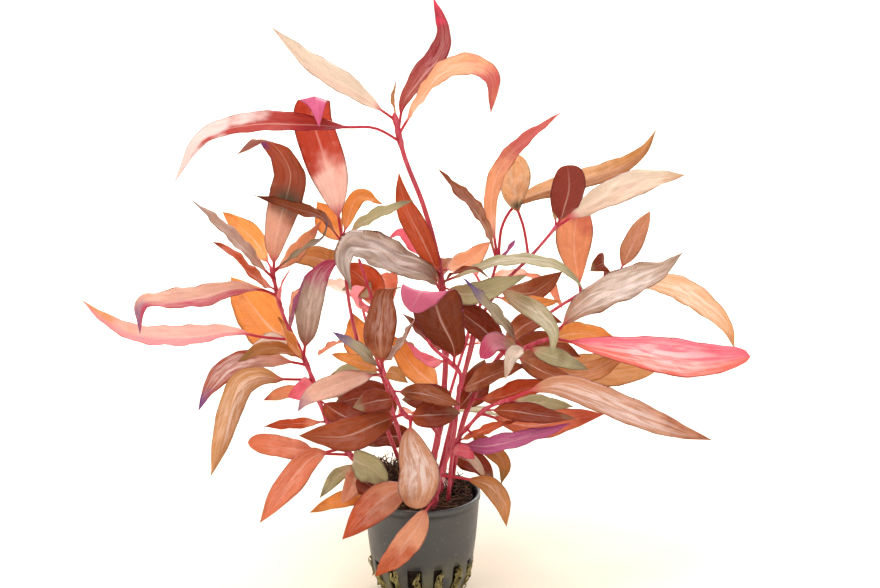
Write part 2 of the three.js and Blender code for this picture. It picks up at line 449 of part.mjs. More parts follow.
// Rings of four points: one margin, under the midrib, the other margin, on the midrib.
// The two halves are raised from the midrib by the fold.
function leafGeometry(spec) {
  const { foot, along: stemAlong, radius } = stemAt(spec.stem, spec.height);
  if (spec.name) {
    const out = vector(spec.route[0]).sub(foot).projectOnPlane(stemAlong).normalize();
    foot.addScaledVector(out, radius + PETIOLE_RADIUS + GAP);
  }
  const curve = routeCurve([foot.toArray(), ...spec.route]);
  const chord = vector(spec.route.at(-1)).sub(foot);
  const heading = spec.heading === undefined
    ? Math.atan2(chord.y, chord.x)
    : THREE.MathUtils.degToRad(spec.heading);
  const level = new THREE.Vector3(Math.sin(heading), -Math.cos(heading), 0);
  const front = level.y > 0 ? -1 : 1;
  const fold = THREE.MathUtils.degToRad(spec.fold);
  const large = spec.route.length > 3 ? BENT_LEAF_STATIONS : LEAF_STATIONS;
  const blade = spec.name ? large : SMALL_LEAF_STATIONS;
  const stations = [0, ...blade.map((at) => spec.petiole + (1 - spec.petiole) * at)];
  const rings = stations.map((at) => {
    const centre = curve.getPointAt(at);
    const along = curve.getTangentAt(at);
    const roll = THREE.MathUtils.degToRad(spec.turn + spec.twist * at) * front;
    const side = level.clone().projectOnPlane(along).normalize();
    const face = side.clone().cross(along);
    const across = side.clone().multiplyScalar(Math.cos(roll)).addScaledVector(face, -Math.sin(roll));
    const upper = face.clone().multiplyScalar(Math.cos(roll)).addScaledVector(side, Math.sin(roll));
    const onBlade = Math.max(0, (at - spec.petiole) / (1 - spec.petiole));
    const petiole = at < 1 ? PETIOLE_RADIUS : LEAF_TIP;
    const half = Math.max(bladeHalfWidth(spec.width, onBlade, spec.blunt), petiole);
    const thick = at > spec.petiole ? LEAF_THICKNESS * (1 - LEAF_THINNING * onBlade) / 2 : PETIOLE_RADIUS;
    const raised = half > PETIOLE_RADIUS ? half * Math.sin(fold) : 0;
    const reach = half > PETIOLE_RADIUS ? half * Math.cos(fold) : half;
    const point = (sideways, up) => centre.clone().addScaledVector(across, sideways)
      .addScaledVector(upper, up);
    return [point(reach, raised), point(0, -thick), point(-reach, raised), point(0, thick)];
  });
  return loft(rings);
}

const plant = new THREE.Group();
plant.add(part('net_pot', potGeometry(), 0x4a4d4f, 0.45));
plant.add(part('rock_wool', woolGeometry(), 0x6a4a30, 0.95));

for (const name of Object.keys(STEMS)) {
  let shoot = solid(stemGeometry(name));
  for (const spec of LEAVES.filter((entry) => entry.stem === name && !entry.name)) {
    shoot = shoot.add(solid(leafGeometry(spec)));
  }
  plant.add(part(`stem_${name}`, geometryOf(shoot), 0xb8445a, 0.4));
}

for (const spec of LEAVES.filter((entry) => entry.name)) {
  const [color, roughness] = TINTS[spec.tint];
  plant.add(part(spec.name, leafGeometry(spec), color, roughness));
}

export default plant;
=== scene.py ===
import functools
import math

import bpy
import numpy as np
from bpy.props import FloatProperty, FloatVectorProperty, IntProperty
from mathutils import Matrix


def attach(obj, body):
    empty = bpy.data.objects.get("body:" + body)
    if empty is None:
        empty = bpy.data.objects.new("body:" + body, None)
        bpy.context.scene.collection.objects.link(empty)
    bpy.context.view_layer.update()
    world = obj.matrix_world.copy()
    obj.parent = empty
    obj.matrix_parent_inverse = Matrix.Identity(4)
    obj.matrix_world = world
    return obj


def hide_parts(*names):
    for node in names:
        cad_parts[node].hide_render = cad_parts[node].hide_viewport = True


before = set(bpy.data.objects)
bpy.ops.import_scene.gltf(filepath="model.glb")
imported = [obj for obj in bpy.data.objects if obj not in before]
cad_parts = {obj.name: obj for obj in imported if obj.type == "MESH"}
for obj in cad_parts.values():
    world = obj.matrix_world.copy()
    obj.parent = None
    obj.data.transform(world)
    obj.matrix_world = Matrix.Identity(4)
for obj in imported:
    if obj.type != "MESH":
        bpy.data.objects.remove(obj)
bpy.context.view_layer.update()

bl_info = {
    "name": "Potted Red Stem Plant",
    "version": (1, 0, 0),
    "blender": (4, 5, 0),
    "location": "View3D > Sidebar > Plant",
    "description": "Builds a red-leaved aquarium stem plant in its net pot around the packed frame",
    "category": "Object",
}

MM = 0.001
SEED = 11

# Net pot, in millimetres: the outer wall as (radius, height) from the bottom's edge to under the lip
POT_HEIGHT = 46
POT_WALL = 1.2
POT_LIP = 0.4
POT_WALL_LINE = [(14.5, 0), (17.6, 2.6), (21.4, 12), (23.2, 26), (24.6, 43.6)]
SLOT_COUNT = 14
SLOT_WIDTH = 4
SLOT_FOOT = 3
SLOT_HEAD = 18.5
SLOT_TURN = -0.2
# Columns of faces that cross a slot, and columns from one opening to the next. A slot's share of the turn
# has 12 columns, so the openings drift off the slots' angles round the pot: a fault
SLOT_COLUMNS = 4
OPENING_EVERY = 11
WOOL_TOP = 43.2
WOOL_REACH = 21.5
# Heaps of fibres on the wool: height, middle and reach to each side, in millimetres
HEAPS = ((16, (-13, 3), (9, 13)), (7, (12, 8), (8, 9)))
# Each loose strand: points round it, rings along it, and the share of its radius that it loses
STRAND_SIDES = 4
STRAND_RINGS = 7
STRAND_TAPER = 0.6
# The stem and height of the joint that has rootlets, and how many
ROOTLET_JOINT = ("front", 59)
ROOTLETS = 9
# Points round a stem, and places along its route
STEM_SIDES = 14
STEM_RINGS = 160

# The camera that was fitted to the photograph: its place in metres, how many degrees it looks down, its
# focal length and the picture's width in pixels, and the sensor width in millimetres that they are put on
CAMERA_PLACE = (0.0077, -0.8, 0.353)
CAMERA_PITCH = 15.36
FOCAL_LENGTH = 1996
PICTURE_WIDTH = 880
SENSOR_WIDTH = 36
# Half the floor's width, in metres
FLOOR_REACH = 8

# Each stem: foot radius and route, in millimetres. The tall one is fuller here than in the CAD
STEMS = {
    "tall": (1.6, [(2, 3, 43.6), (9, 6, 85), (10, 8, 115), (7, 8, 145), (1, 6, 169),
        (-7, 4, 191), (-11, 2, 209)]),
    "left": (1.2, [(-10, -8, 43.6), (-21, -10, 57), (-30, -10, 66), (-39, -8, 79),
        (-48, -2, 103), (-58, 4, 123), (-63, 8, 143)]),
    "centre_left": (1.1, [(-5, 7, 43.6), (-15, 8, 71), (-21, 10, 86), (-26, 10, 104),
        (-30, 8, 124), (-32, 6, 142), (-33, 5, 157)]),
    "middle": (1, [(-3, -3, 43.6), (-10, -4, 75), (-16, -2, 99), (-20, 0, 128), (-26, 2, 148)]),
    "front": (1.2, [(5, -15, 43.6), (8, -16, 59), (13, -18, 75), (15, -16, 92), (16, -14, 103),
        (11, -12, 108), (4, -10, 114), (1, -8, 120)]),
    "arched": (1.1, [(2, -8, 43.6), (5, -12, 64), (7, -21, 78), (1, -30, 88), (-6, -33, 91),
        (-10, -32, 98), (-16, -28, 110)]),
    "right_upper": (1.1, [(6, 11, 43.6), (13, 10, 75), (20, 12, 101), (25, 12, 119), (33, 12, 133),
        (46, 14, 146), (58, 16, 160)]),
    "centre_right": (1, [(8, -1, 43.6), (13, 2, 77), (19, 4, 103), (24, 6, 125), (29, 6, 137),
        (32, 6, 148)]),
    "right_low": (1.1, [(11, -8, 43.6), (14, -12, 71), (20, -18, 82), (26, -22, 90), (31, -26, 94),
        (36, -30, 97)]),
    "right_middle": (1.1, [(12, 5, 43.6), (18, 2, 77), (26, -2, 96), (35, -6, 106), (45, -10, 114),
        (56, -14, 119)]),
    "right_back": (1.1, [(11, 13, 43.6), (21, 22, 80), (38, 30, 102), (60, 36, 118), (77, 38, 127),
        (87, 38, 133)]),
    "back_left": (1, [(-6, 13, 43.6), (-13, 28, 72), (-22, 42, 98), (-28, 52, 118)]),
    "back_right": (1, [(3, 17, 43.6), (12, 34, 78), (20, 46, 102), (26, 56, 124)]),
}

# Rings on the petiole and on the blade, steps across the blade, and the stalk's radius at its foot: for
# a leaf with a node of its own, and for a small one
LEAF_GRIDS = {True: (8, 56, 15, 0.62), False: (5, 30, 11, 0.42)}
LEAVES = []
# A smudge at 9 lies past the tip, so there is none
PLAIN_LEAF = dict(petiole=0.12, fold=18, twist=0, blunt=False, wave=0.55, frost=0.08, tone=(0, 1),
    heading=None, crumple=0.25, cheek=0, skew=0, smudge=9)


def leaf(stem, name, height, width, turn, finish, route, **more):
    """Notes one leaf: it leaves its stem at a height and follows a route to its tip, in millimetres.

    One without a name is part of its stem's solid in the CAD, and gets a number.
    turn rolls its upper face towards the viewer and twist adds to that along its length, in degrees.
    heading is the compass side that it leans to, petiole the share of its length before the blade,
    fold the angle that its halves are raised by, and a blunt tip is fuller than a pointed one.
    wave is the height of its edge's waves, crumple how wrinkled it is, frost how silvery
    its upper side is, partly its own wax and partly a painted highlight, cheek how strong the
    painted shade on its half turned from the light is, and smudge where along it a dark stain lies.
    tone gives where on its finish's row of colours its blade starts and ends, with the row from 0 to 1,
    and skew how much the shaded half is behind in that."""
    number = sum(row["stem"] == stem and not row["own_node"] for row in LEAVES) + 1
    row = dict(stem=stem, name=f"leaf_{name or f'{stem}_small_{number}'}", height=height, width=width,
        turn=turn, finish=finish, route=route, own_node=bool(name))
    LEAVES.append(PLAIN_LEAF | row | more)


# A leaf's place in this list seeds its waves, so a new one goes to the end
grow = functools.partial(leaf, "tall")
grow("top_left", 206, 12, 48, "cream", [(-28, -6, 220), (-44, -12, 231), (-58, -16, 246)],
    tone=(0.1, 0.9), frost=0.1, wave=0.3, cheek=0.3)
grow("top_spire", 201, 10, 40, "ruby", [(-7, 8, 212), (0, 8, 222), (7, 4, 231), (10, 0, 242),
    (5, -4, 257)], fold=30, heading=20, tone=(-0.2, 1.1), frost=0.3, wave=0.5)
grow("top_right", 200, 11, 45, "peach", [(0, -6, 216), (9, -9, 227), (20, -10, 230), (28, -12, 226),
    (28, -14, 212)], tone=(0, 1.2), frost=0.25)
grow("top_sweep", 197, 12, 40, "sweep", [(-19, -4, 204), (-30, -8, 205), (-48, -14, 207), (-67, -20, 208),
    (-85, -26, 204), (-97, -30, 187)], petiole=0.25, twist=-20, tone=(0, 1.4), frost=0.05, wave=0.2,
    crumple=0, skew=0.22)
grow("", 206, 4, 30, "tan", [(-11, 3, 216), (-10, 2, 223)])
grow("tall_side", 140, 10, 10, "copper", [(5, -2, 147), (0, -3, 158), (-5, -3, 168), (-8, -5, 178),
    (-9, -6, 186)], heading=100, tone=(0.3, 0.85), frost=0.1, cheek=0.3)
grow("silver_fold", 131, 14, 68, "pearl", [(2, -6, 144), (-9, -12, 150), (-20, -18, 157), (-29, -24, 160),
    (-31, -28, 154), (-28, -28, 144)], tone=(0.1, 1.1), frost=1.4, crumple=2.2, cheek=-0.3)
grow("bridge", 136, 6, 40, "olive", [(20, -4, 144), (32, -8, 149), (44, -12, 151), (56, -16, 149),
    (62, -18, 145), (66, -20, 140)], tone=(0.2, 0.9), frost=0.7)
grow("", 134, 10, 60, "olive", [(20, -7, 135), (32, -10, 139), (43, -14, 145)])
grow("", 136, 5, 40, "olive", [(5, 6, 142), (-2, 4, 148)])
grow("", 145, 7, 40, "magenta", [(-1, 12, 149), (-9, 13, 156), (-14, 12, 154)])
grow("", 141, 10, 40, "peach", [(18, 16, 142), (29, 22, 150)])
grow("", 106, 9, 30, "maroon", [(3, 2, 112), (-8, 0, 125)])
grow("", 88, 13, 30, "amber", [(-4, 22, 95), (-13, 28, 107)])
grow("", 135, 3, 40, "maroon", [(14, -10, 145), (22, -14, 148), (28, -16, 144)])
grow = functools.partial(leaf, "left")
grow("left_curl", 138, 13, 0, "ember", [(-60, -4, 157), (-56, -5, 172), (-53, -6, 186), (-59, -10, 198),
    (-65, -14, 201), (-73, -18, 196)], heading=80, tone=(-0.25, 1.1), frost=0.1, smudge=0.4, cheek=0.1)
grow("left_upper", 138, 9, 45, "silver", [(-70, -4, 150), (-79, -8, 161), (-92, -14, 176)],
    frost=0.4, cheek=0.3)
grow("left_arch", 131, 11, 35, "rose", [(-66, -4, 136), (-76, -10, 138), (-90, -16, 136),
    (-104, -22, 136), (-112, -26, 136), (-113, -30, 125)], petiole=0.18, tone=(0.2, 1), frost=0.3,
    cheek=0.8)
grow("left_low", 113, 10, 40, "blossom", [(-67, 2, 114), (-79, 6, 115), (-98, 12, 111), (-122, 16, 111),
    (-135, 18, 117), (-145, 20, 125)], petiole=0.2, tone=(0.1, 1.1), frost=0.1, cheek=0.8)
grow("left_amber", 114, 21, 50, "amber", [(-65, 25, 111), (-74, 36, 118), (-84, 47, 128)],
    tone=(0.2, 0.8), frost=0.05, cheek=0.2)
grow("left_middle", 103, 10, 40, "ember", [(-58, -6, 106), (-69, -12, 108), (-79, -18, 106),
    (-86, -22, 100), (-91, -26, 91)], tone=(-0.1, 1.0), frost=0.9)
grow("left_hang", 97, 11, 45, "straw", [(-59, -15, 101), (-67, -22, 104), (-73, -25, 102), (-77, -27, 94),
    (-80, -29, 84), (-86, -32, 65)], petiole=0.2, tone=(1.7, 0.9), frost=0.6, cheek=0.8)
grow("left_inner", 106, 11, 0, "wine", [(-47, -10, 122), (-45, -13, 134), (-42, -15, 145),
    (-37, -18, 151), (-30, -21, 154)], heading=85, tone=(-0.1, 1.45), frost=0.6)
grow("low_spatulate", 66, 10, 60, "coral", [(-44, -16, 69), (-54, -22, 73), (-71, -28, 78)], petiole=0.3,
    blunt=True, tone=(0, 0.5), frost=0.15)
grow("low_left", 69, 11, 60, "coral", [(-45, -22, 69), (-54, -28, 61), (-66, -36, 46)], petiole=0.2,
    tone=(0.2, 0.7), frost=0.25)
grow("", 133, 10, 48, "copper", [(-70, -14, 146), (-76, -20, 155), (-83, -26, 162)])
grow("", 141, 4, 40, "heather", [(-48, -6, 154), (-40, -10, 160), (-38, -12, 167), (-40, -14, 171)],
    tone=(0, 1.3))
grow("", 140, 8, 60, "peach", [(-49, 2, 153), (-41, 2, 164)])
grow("", 142, 10, 50, "amber", [(-71, 24, 150), (-86, 40, 159)])
grow("", 111, 11, 45, "cream", [(-68, 13, 106), (-78, 21, 96)])
grow("", 92, 6, 50, "peach", [(-57, -6, 92), (-66, -10, 90)])
grow("", 96, 10, 50, "magenta", [(-48, -14, 96), (-55, -18, 94)])
grow("", 80, 5, 50, "copper", [(-54, -14, 81), (-65, -20, 82)])
grow("", 128, 4, 50, "magenta", [(-57, -6, 140), (-53, -8, 147)])
grow("", 117, 7, 50, "plum", [(-51, -14, 132), (-47, -17, 146)])
grow("", 104, 10, 50, "amber", [(-55, -10, 116), (-59, -12, 127)])
grow("", 89, 11, 40, "maroon", [(-31, -20, 86), (-15, -25, 84)])
grow("", 92, 5, 60, "magenta", [(-38, -16, 96), (-30, -20, 97)])
grow("", 63, 6, 40, "olive", [(-36, -20, 59), (-42, -26, 53)])
grow("", 61, 9, 50, "copper", [(-29, -22, 57), (-33, -30, 52)], tone=(-0.4, 0.1), frost=0.2)
grow("", 65, 13, 75, "olive", [(-26, -22, 67), (-20, -27, 66), (-14, -30, 61)], blunt=True)
grow("", 50, 8, 50, "amber", [(-20, -18, 52), (-34, -24, 51), (-46, -30, 48)])
grow("", 62, 11, 50, "maroon", [(-23, -22, 58), (-15, -26, 56)])
grow("", 105, 6, 50, "tan", [(-59, -8, 112), (-67, -14, 113), (-75, -20, 110)])
grow = functools.partial(leaf, "centre_left")
grow("fan", 155, 18, 0, "blush", [(-35, 4, 170), (-37, 4, 181), (-41, 3, 195), (-44, 0, 207),
    (-43, -8, 217), (-41, -18, 217), (-40, -23, 208)], heading=95, tone=(0.35, 2.1), frost=0.05,
    cheek=0.1, crumple=0)
grow("", 154, 7, 40, "bronze", [(-41, -5, 167), (-50, -12, 172), (-67, -17, 179)])
grow("", 156, 7, 45, "amber", [(-26, 11, 172), (-16, 15, 168)])
grow("", 153, 11, 50, "amber", [(-38, 14, 160), (-44, 20, 168)])
grow("", 155, 7, 45, "olive", [(-23, -4, 165), (-13, -9, 171), (-3, -13, 176)])
grow("", 102, 15, 50, "amber", [(-27, 22, 108), (-30, 28, 117)])
grow("", 82, 13, 50, "amber", [(-28, 20, 80), (-38, 24, 83)])
grow("", 151, 10, 50, "tan", [(-39, 16, 143), (-47, 20, 144), (-57, 24, 141)])
grow = functools.partial(leaf, "middle")
grow("centre_upright", 101, 13, 0, "bronze", [(-17, -12, 115), (-16, -17, 129), (-14, -20, 140),
    (-8, -25, 143)], heading=85, tone=(0.1, 0.8), frost=0.45)
grow("", 104, 9, 50, "silver", [(-8, -16, 116), (-2, -20, 129)], tone=(0.2, 0.9), frost=0.6)
grow("", 128, 9, 50, "magenta", [(-26, -8, 130), (-28, -12, 137), (-23, -14, 140)])
grow("", 130, 10, 50, "olive", [(-27, 14, 134), (-34, 18, 130)])
grow("", 125, 13, 50, "copper", [(-21, 8, 133), (-27, 10, 139), (-34, 12, 143)])
grow("", 97, 6, 50, "olive", [(-21, -6, 101), (-29, -8, 103), (-39, -10, 100)])
grow("", 77, 14, 50, "maroon", [(-16, 2, 84), (-25, 2, 87), (-37, 0, 85)])
grow = functools.partial(leaf, "front")
grow("centre_pink", 106, 19, 10, "russet", [(13, -24, 118), (8, -31, 131), (4, -35, 143), (0, -42, 145),
    (-4, -47, 139)], heading=100, fold=2, blunt=True, tone=(0.4, 0.7), frost=0.05, cheek=-0.3, crumple=0)
grow("low_front", 53, 13, 55, "copper", [(-6, -26, 57), (-14, -32, 56), (-21, -38, 52), (-32, -44, 42)],
    petiole=0.3, tone=(-0.1, 0.6), frost=0.25, cheek=0.3)
grow("on_pot", 48, 12, 60, "copper", [(2, -30, 49), (-1, -36, 45), (-8, -38, 36), (-19, -38, 23)],
    petiole=0.3, tone=(-0.2, 0.4), frost=0.15)
grow("pot_right", 59, 8, 45, "tan", [(20, -26, 61), (28, -31, 60), (33, -34, 54), (35, -35, 44)],
    petiole=0.35, tone=(0.6, 0.1), frost=0.3)
grow("", 108, 6, 50, "magenta", [(2, -19, 110), (-6, -23, 119)])
grow("", 71, 6, 50, "magenta", [(18, -23, 72), (22, -26, 70)])
grow = functools.partial(leaf, "arched")
grow("front_hang", 90, 16, 0, "bronze", [(-4, -40, 84), (-1, -44, 72), (-2, -46, 56)], heading=-90,
    tone=(-0.3, 0.15), frost=1.05, blunt=True, crumple=0.1)
grow("front_left", 92, 14, 55, "maroon", [(-17, -42, 91), (-30, -49, 88), (-48, -54, 90)],
    tone=(-0.3, 0.05), frost=0.1, cheek=0.2)
grow("", 108, 10, 50, "rose", [(-30, -34, 106), (-40, -40, 104), (-46, -43, 101), (-49, -45, 97)])
grow("", 109, 6, 50, "heather", [(-24, -35, 119), (-35, -38, 128)], tone=(0.1, 1.15), frost=0.3)
grow("", 108, 6, 50, "amber", [(-25, -31, 113), (-36, -32, 117)])
grow("", 107, 6, 50, "tan", [(-11, -38, 111), (-5, -42, 108)])
grow("", 101, 8, 50, "bronze", [(1, -38, 102), (16, -43, 99)], tone=(0.2, 0.9), frost=0.15)
grow("", 91, 13, 50, "maroon", [(4, -38, 93), (16, -38, 94)])
grow("", 98, 11, 50, "maroon", [(-18, -41, 100), (-27, -46, 99)])
grow = functools.partial(leaf, "right_upper")
grow("dried", 145, 13, 0, "straw", [(43, 19, 157), (40, 22, 166), (39, 23, 176), (40, 22, 188)],
    heading=90, petiole=0.45, blunt=True, tone=(-0.5, 0.1), frost=0.6, crumple=2.8, wave=1.4, smudge=0.1)
grow("right_cream", 158, 12, 55, "cream", [(65, 19, 163), (76, 23, 169), (93, 28, 175), (112, 32, 177)],
    tone=(0.1, 0.9), frost=0.25, crumple=0.7, wave=0.8, cheek=0.3)
grow("right_maroon", 159, 14, 0, "maroon", [(59, 9, 167), (61, 6, 177), (60, 4, 187)], heading=-90,
    blunt=True, tone=(0.2, 0.75), frost=0.05, wave=0.6)
grow("", 158, 4, 40, "olive", [(56, 16, 172), (57, 16, 182)])
grow("", 133, 10, 50, "bronze", [(46, 20, 128), (60, 26, 136)])
grow("", 129, 7, 50, "amber", [(46, 10, 126), (58, 8, 128)])
grow("", 77, 13, 40, "maroon", [(22, 17, 86), (27, 22, 98)])
grow = functools.partial(leaf, "centre_right")
grow("centre_sickle", 147, 7, 0, "peach", [(30, 8, 158), (29, 10, 169), (31, 12, 180), (36, 14, 188),
    (43, 16, 195), (51, 18, 201), (58, 20, 206)], heading=70, tone=(0.1, 1.6), frost=0.1)
grow("centre_up", 146, 10, 45, "bronze", [(27, 0, 160), (20, -4, 172), (13, -6, 180), (7, -8, 188)],
    tone=(0, 0.6), frost=0.3)
grow("right_high", 148, 9, 50, "straw", [(34, 16, 159), (40, 24, 166), (52, 32, 170), (72, 40, 174),
    (88, 46, 179), (96, 48, 185), (101, 50, 193)], petiole=0.25, tone=(0.2, 1.3), frost=0.2, cheek=1,
    wave=0.7)
grow("right_bend", 137, 8, 50, "olive", [(40, -3, 131), (49, -11, 127), (54, -19, 122), (53, -25, 114)],
    tone=(0, 0.6), frost=0.7)
grow("", 145, 4, 40, "plum", [(36, 3, 151), (39, 2, 156)])
grow("", 77, 12, 40, "maroon", [(10, -4, 88), (6, -6, 96)])
grow("", 90, 13, 40, "bronze", [(23, -5, 96), (33, -9, 102), (43, -13, 106)])
grow("", 129, 6, 30, "sweep", [(17, -4, 131), (10, -8, 130), (3, -10, 127)], tone=(0.2, 0.5))
grow = functools.partial(leaf, "right_low")
grow("right_low", 97, 12, 50, "bronze", [(44, -34, 102), (55, -40, 106), (67, -46, 104), (79, -50, 100),
    (91, -54, 96), (102, -58, 93), (114, -62, 91)], tone=(-0.5, 0.35), frost=0.9, cheek=0.15)
grow("right_mauve", 72, 8, 50, "plum", [(28, -30, 77), (40, -36, 82), (52, -40, 87), (60, -42, 91)],
    tone=(0.2, 0.6), frost=0.2)
grow("right_orange", 88, 12, 55, "coral", [(44, -16, 81), (60, -12, 82), (76, -10, 84)], tone=(0.5, 1),
    frost=0.1, cheek=0.2)
grow("", 90, 8, 55, "maroon", [(38, -33, 93), (50, -39, 93), (62, -42, 93)])
grow("", 96, 6, 50, "olive", [(48, -28, 95), (62, -30, 94)])
grow = functools.partial(leaf, "front")
grow("", 90, 12, 50, "maroon", [(7, -23, 95), (-8, -21, 94)])
grow = functools.partial(leaf, "right_low")
grow("", 80, 7, 50, "tan", [(28, -24, 74), (34, -26, 68), (33, -28, 60)])
grow("", 68, 4, 50, "cream", [(20, -15, 67), (27, -20, 59)])
grow("", 73, 5, 40, "copper", [(24, -22, 80), (31, -26, 84), (39, -30, 88)])
grow = functools.partial(leaf, "right_middle")
grow("right_pink", 118, 15, 55, "magenta", [(73, -22, 117), (92, -30, 116), (112, -36, 115),
    (131, -42, 119)], blunt=True, petiole=0.1, tone=(0.3, 0.9), frost=0.9, cheek=0.9, crumple=0.1)
grow("right_silver", 118, 14, 55, "pearl", [(64, -16, 131), (77, -18, 139), (89, -20, 145),
    (98, -22, 150), (105, -24, 157)], tone=(0, 0.9), frost=1.4, crumple=1.6, cheek=0.3)
grow("right_tan", 106, 10, 50, "tan", [(56, -8, 101), (69, -10, 102), (80, -13, 108), (87, -15, 115)],
    tone=(-0.3, 0.5), frost=0.3)
grow("right_amber", 104, 14, 55, "straw", [(58, 8, 98), (76, 14, 95), (101, 18, 96)], blunt=True,
    tone=(0.9, 1.6), frost=0.2)
grow("", 116, 10, 50, "amber", [(66, 0, 116), (84, 4, 111)])
grow("", 113, 8, 50, "olive", [(56, -19, 111), (68, -24, 108)])
grow("", 109, 8, 50, "bronze", [(52, -24, 106), (64, -32, 105)])
grow("", 112, 10, 45, "heather", [(32, -18, 127), (25, -23, 136), (17, -26, 147)], tone=(-0.1, 1.2),
    frost=0.3)
grow("", 107, 14, 50, "maroon", [(27, -9, 119), (16, -10, 128), (8, -12, 131)])
grow("", 113, 6, 40, "cream", [(37, -22, 113), (34, -28, 105)])
grow("", 112, 8, 60, "petal", [(34, -17, 117), (29, -23, 119), (24, -28, 114)], blunt=True,
    tone=(-0.2, 1.3), frost=0.1)
grow("", 106, 12, 50, "bronze", [(44, 6, 107), (55, 8, 108), (67, 6, 104)])
grow("", 87, 10, 50, "copper", [(33, -6, 90), (45, -9, 95), (57, -11, 98)])
grow = functools.partial(leaf, "right_back")
grow("right_upright", 123, 15, 0, "peach", [(67, 42, 134), (66, 44, 146), (68, 46, 162)], heading=90,
    blunt=True, tone=(0.45, 1), frost=0.1, cheek=0.3, wave=0.5)
grow("right_droop", 131, 11, 45, "straw", [(94, 31, 130), (104, 26, 130), (114, 22, 127), (122, 18, 122),
    (129, 15, 115), (133, 12, 106)], tone=(0.1, 0.9), frost=0.8)
grow("", 132, 9, 45, "bronze", [(91, 42, 143), (99, 46, 158)], tone=(-0.5, -0.05), frost=0.2)
grow("", 128, 10, 50, "maroon", [(78, 32, 138), (72, 27, 136)])
grow("", 57, 11, 50, "maroon", [(17, 24, 52), (25, 22, 49), (31, 16, 44)])
grow("", 98, 10, 50, "bronze", [(42, 30, 109), (53, 34, 113), (61, 34, 111)])
grow = functools.partial(leaf, "back_left")
grow("back_left", 116, 14, 0, "rose", [(-42, 66, 119), (-54, 78, 112), (-62, 86, 98)])
grow("back_middle", 117, 14, 0, "copper", [(-24, 68, 122), (-18, 84, 118), (-14, 96, 104)])
grow("", 98, 11, 0, "coral", [(-36, 54, 96), (-48, 66, 86)])
grow("", 96, 11, 0, "bronze", [(-12, 56, 96), (-4, 68, 86)])
grow("", 74, 11, 0, "tan", [(-26, 40, 74), (-40, 50, 68)])
grow("", 70, 11, 0, "copper", [(-4, 40, 68), (0, 54, 58)])
grow("", 54, 12, 50, "maroon", [(-8, 20, 62), (-16, 18, 64), (-24, 12, 62)])
grow = functools.partial(leaf, "back_right")
grow("back_right", 122, 14, 0, "coral", [(40, 66, 124), (54, 76, 118), (64, 84, 103)])
grow("back_centre", 123, 14, 0, "bronze", [(20, 72, 128), (12, 86, 125), (6, 97, 112)])
grow("", 98, 11, 0, "rose", [(38, 54, 96), (54, 62, 88)])
grow("", 100, 11, 0, "copper", [(16, 64, 94), (14, 78, 84)])
grow("", 72, 11, 0, "olive", [(28, 38, 68), (40, 48, 61)])
grow("", 53, 11, 50, "bronze", [(-1, 25, 50), (-8, 22, 47), (-15, 19, 49)])

# Each leaf finish: what it is, and its colour next to the petiole, over most of the blade, at the tip, as
# painted shade on the half that is turned from the light, and underneath
FINISHES = {
    "copper": ("Orange-red leaves",
        "#eab08c", "#c86034", "#9c4028", "#86301f", "#d88468"),
    "bronze": ("Brown leaves",
        "#cc9470", "#9a5028", "#743420", "#602414", "#b8785c"),
    "silver": ("Leaves with a silvery upper side",
        "#cf9c80", "#c4a490", "#b4a8a0", "#84503a", "#b07862"),
    "pearl": ("Leaves that shine nearly white",
        "#b8886c", "#bca490", "#ccc0b8", "#94603e", "#b89480"),
    "rose": ("Dusty pink leaves",
        "#eccfc0", "#dcb4a0", "#8c5c88", "#b84860", "#dca894"),
    # The folded leaf's orange-brown tip colour is partly its own colour and partly painted shade where its
    # end folds over
    "blush": ("The folded leaf, pale at its base",
        "#f8e0d6", "#f2d2c6", "#c25434", "#d8886c", "#f2d6d2"),
    "blossom": ("Pink-orange leaves low on the plant",
        "#e8bcb0", "#deb4a8", "#d8a070", "#e4949c", "#e8b4ac"),
    "peach": ("Pale orange leaves",
        "#ecc4a8", "#e2a880", "#c06460", "#d08c68", "#ecbc9c"),
    "cream": ("Dried and very pale leaves",
        "#e4d0c0", "#dccbba", "#c8a484", "#cc9c80", "#e8dccf"),
    "amber": ("Yellow-orange leaves, lit from behind",
        "#ecb478", "#e09a50", "#c0743c", "#98482c", "#e8b078"),
    "coral": ("Salmon-red leaves",
        "#e8ac90", "#d88460", "#c05c44", "#b04c3c", "#e09c80"),
    "magenta": ("Strong pink leaves",
        "#f2a0a4", "#e6788a", "#da6474", "#e0705a", "#f2a4ac"),
    "ruby": ("Dark red leaves",
        "#a85c50", "#96383c", "#e84c74", "#6c2028", "#e090a0"),
    "russet": ("The dark leaf with a pink underside",
        "#8a4428", "#7a3a1a", "#8c3c24", "#5c2414", "#d86c8a"),
    "sweep": ("The long red leaf with a cream end",
        "#a83c44", "#b04038", "#e6dad4", "#8a2830", "#d08070"),
    "maroon": ("The darkest leaves",
        "#a85028", "#8c3616", "#a4886a", "#5a1c0c", "#9a463a"),
    "olive": ("Grey-green leaves",
        "#c8ac88", "#b2a880", "#8c8468", "#7c683f", "#c0b494"),
    "straw": ("Pale dried and thin tan leaves",
        "#e8c49c", "#dab088", "#c4905c", "#a47048", "#e8c8a4"),
    "tan": ("Light brown leaves",
        "#d0945c", "#b87c44", "#98703c", "#804828", "#cc9c70"),
    "plum": ("Purple young leaves",
        "#c0607c", "#b85a88", "#90509c", "#7c3058", "#b87090"),
    "heather": ("Grey-green leaves with a purple tip",
        "#8c5a3c", "#b4a484", "#6c4a90", "#84503a", "#a8907c"),
    "ember": ("The curled leaf with a purple tip",
        "#ecc0a8", "#a84e2e", "#764490", "#8c3c24", "#c88c78"),
    "wine": ("Silvery leaves with a crimson tip",
        "#a08070", "#b8a090", "#b03060", "#84503a", "#b07862"),
    "petal": ("The small folded pink tip",
        "#d8c098", "#d890a0", "#cc5478", "#c87c7c", "#e0a0a8"),
}
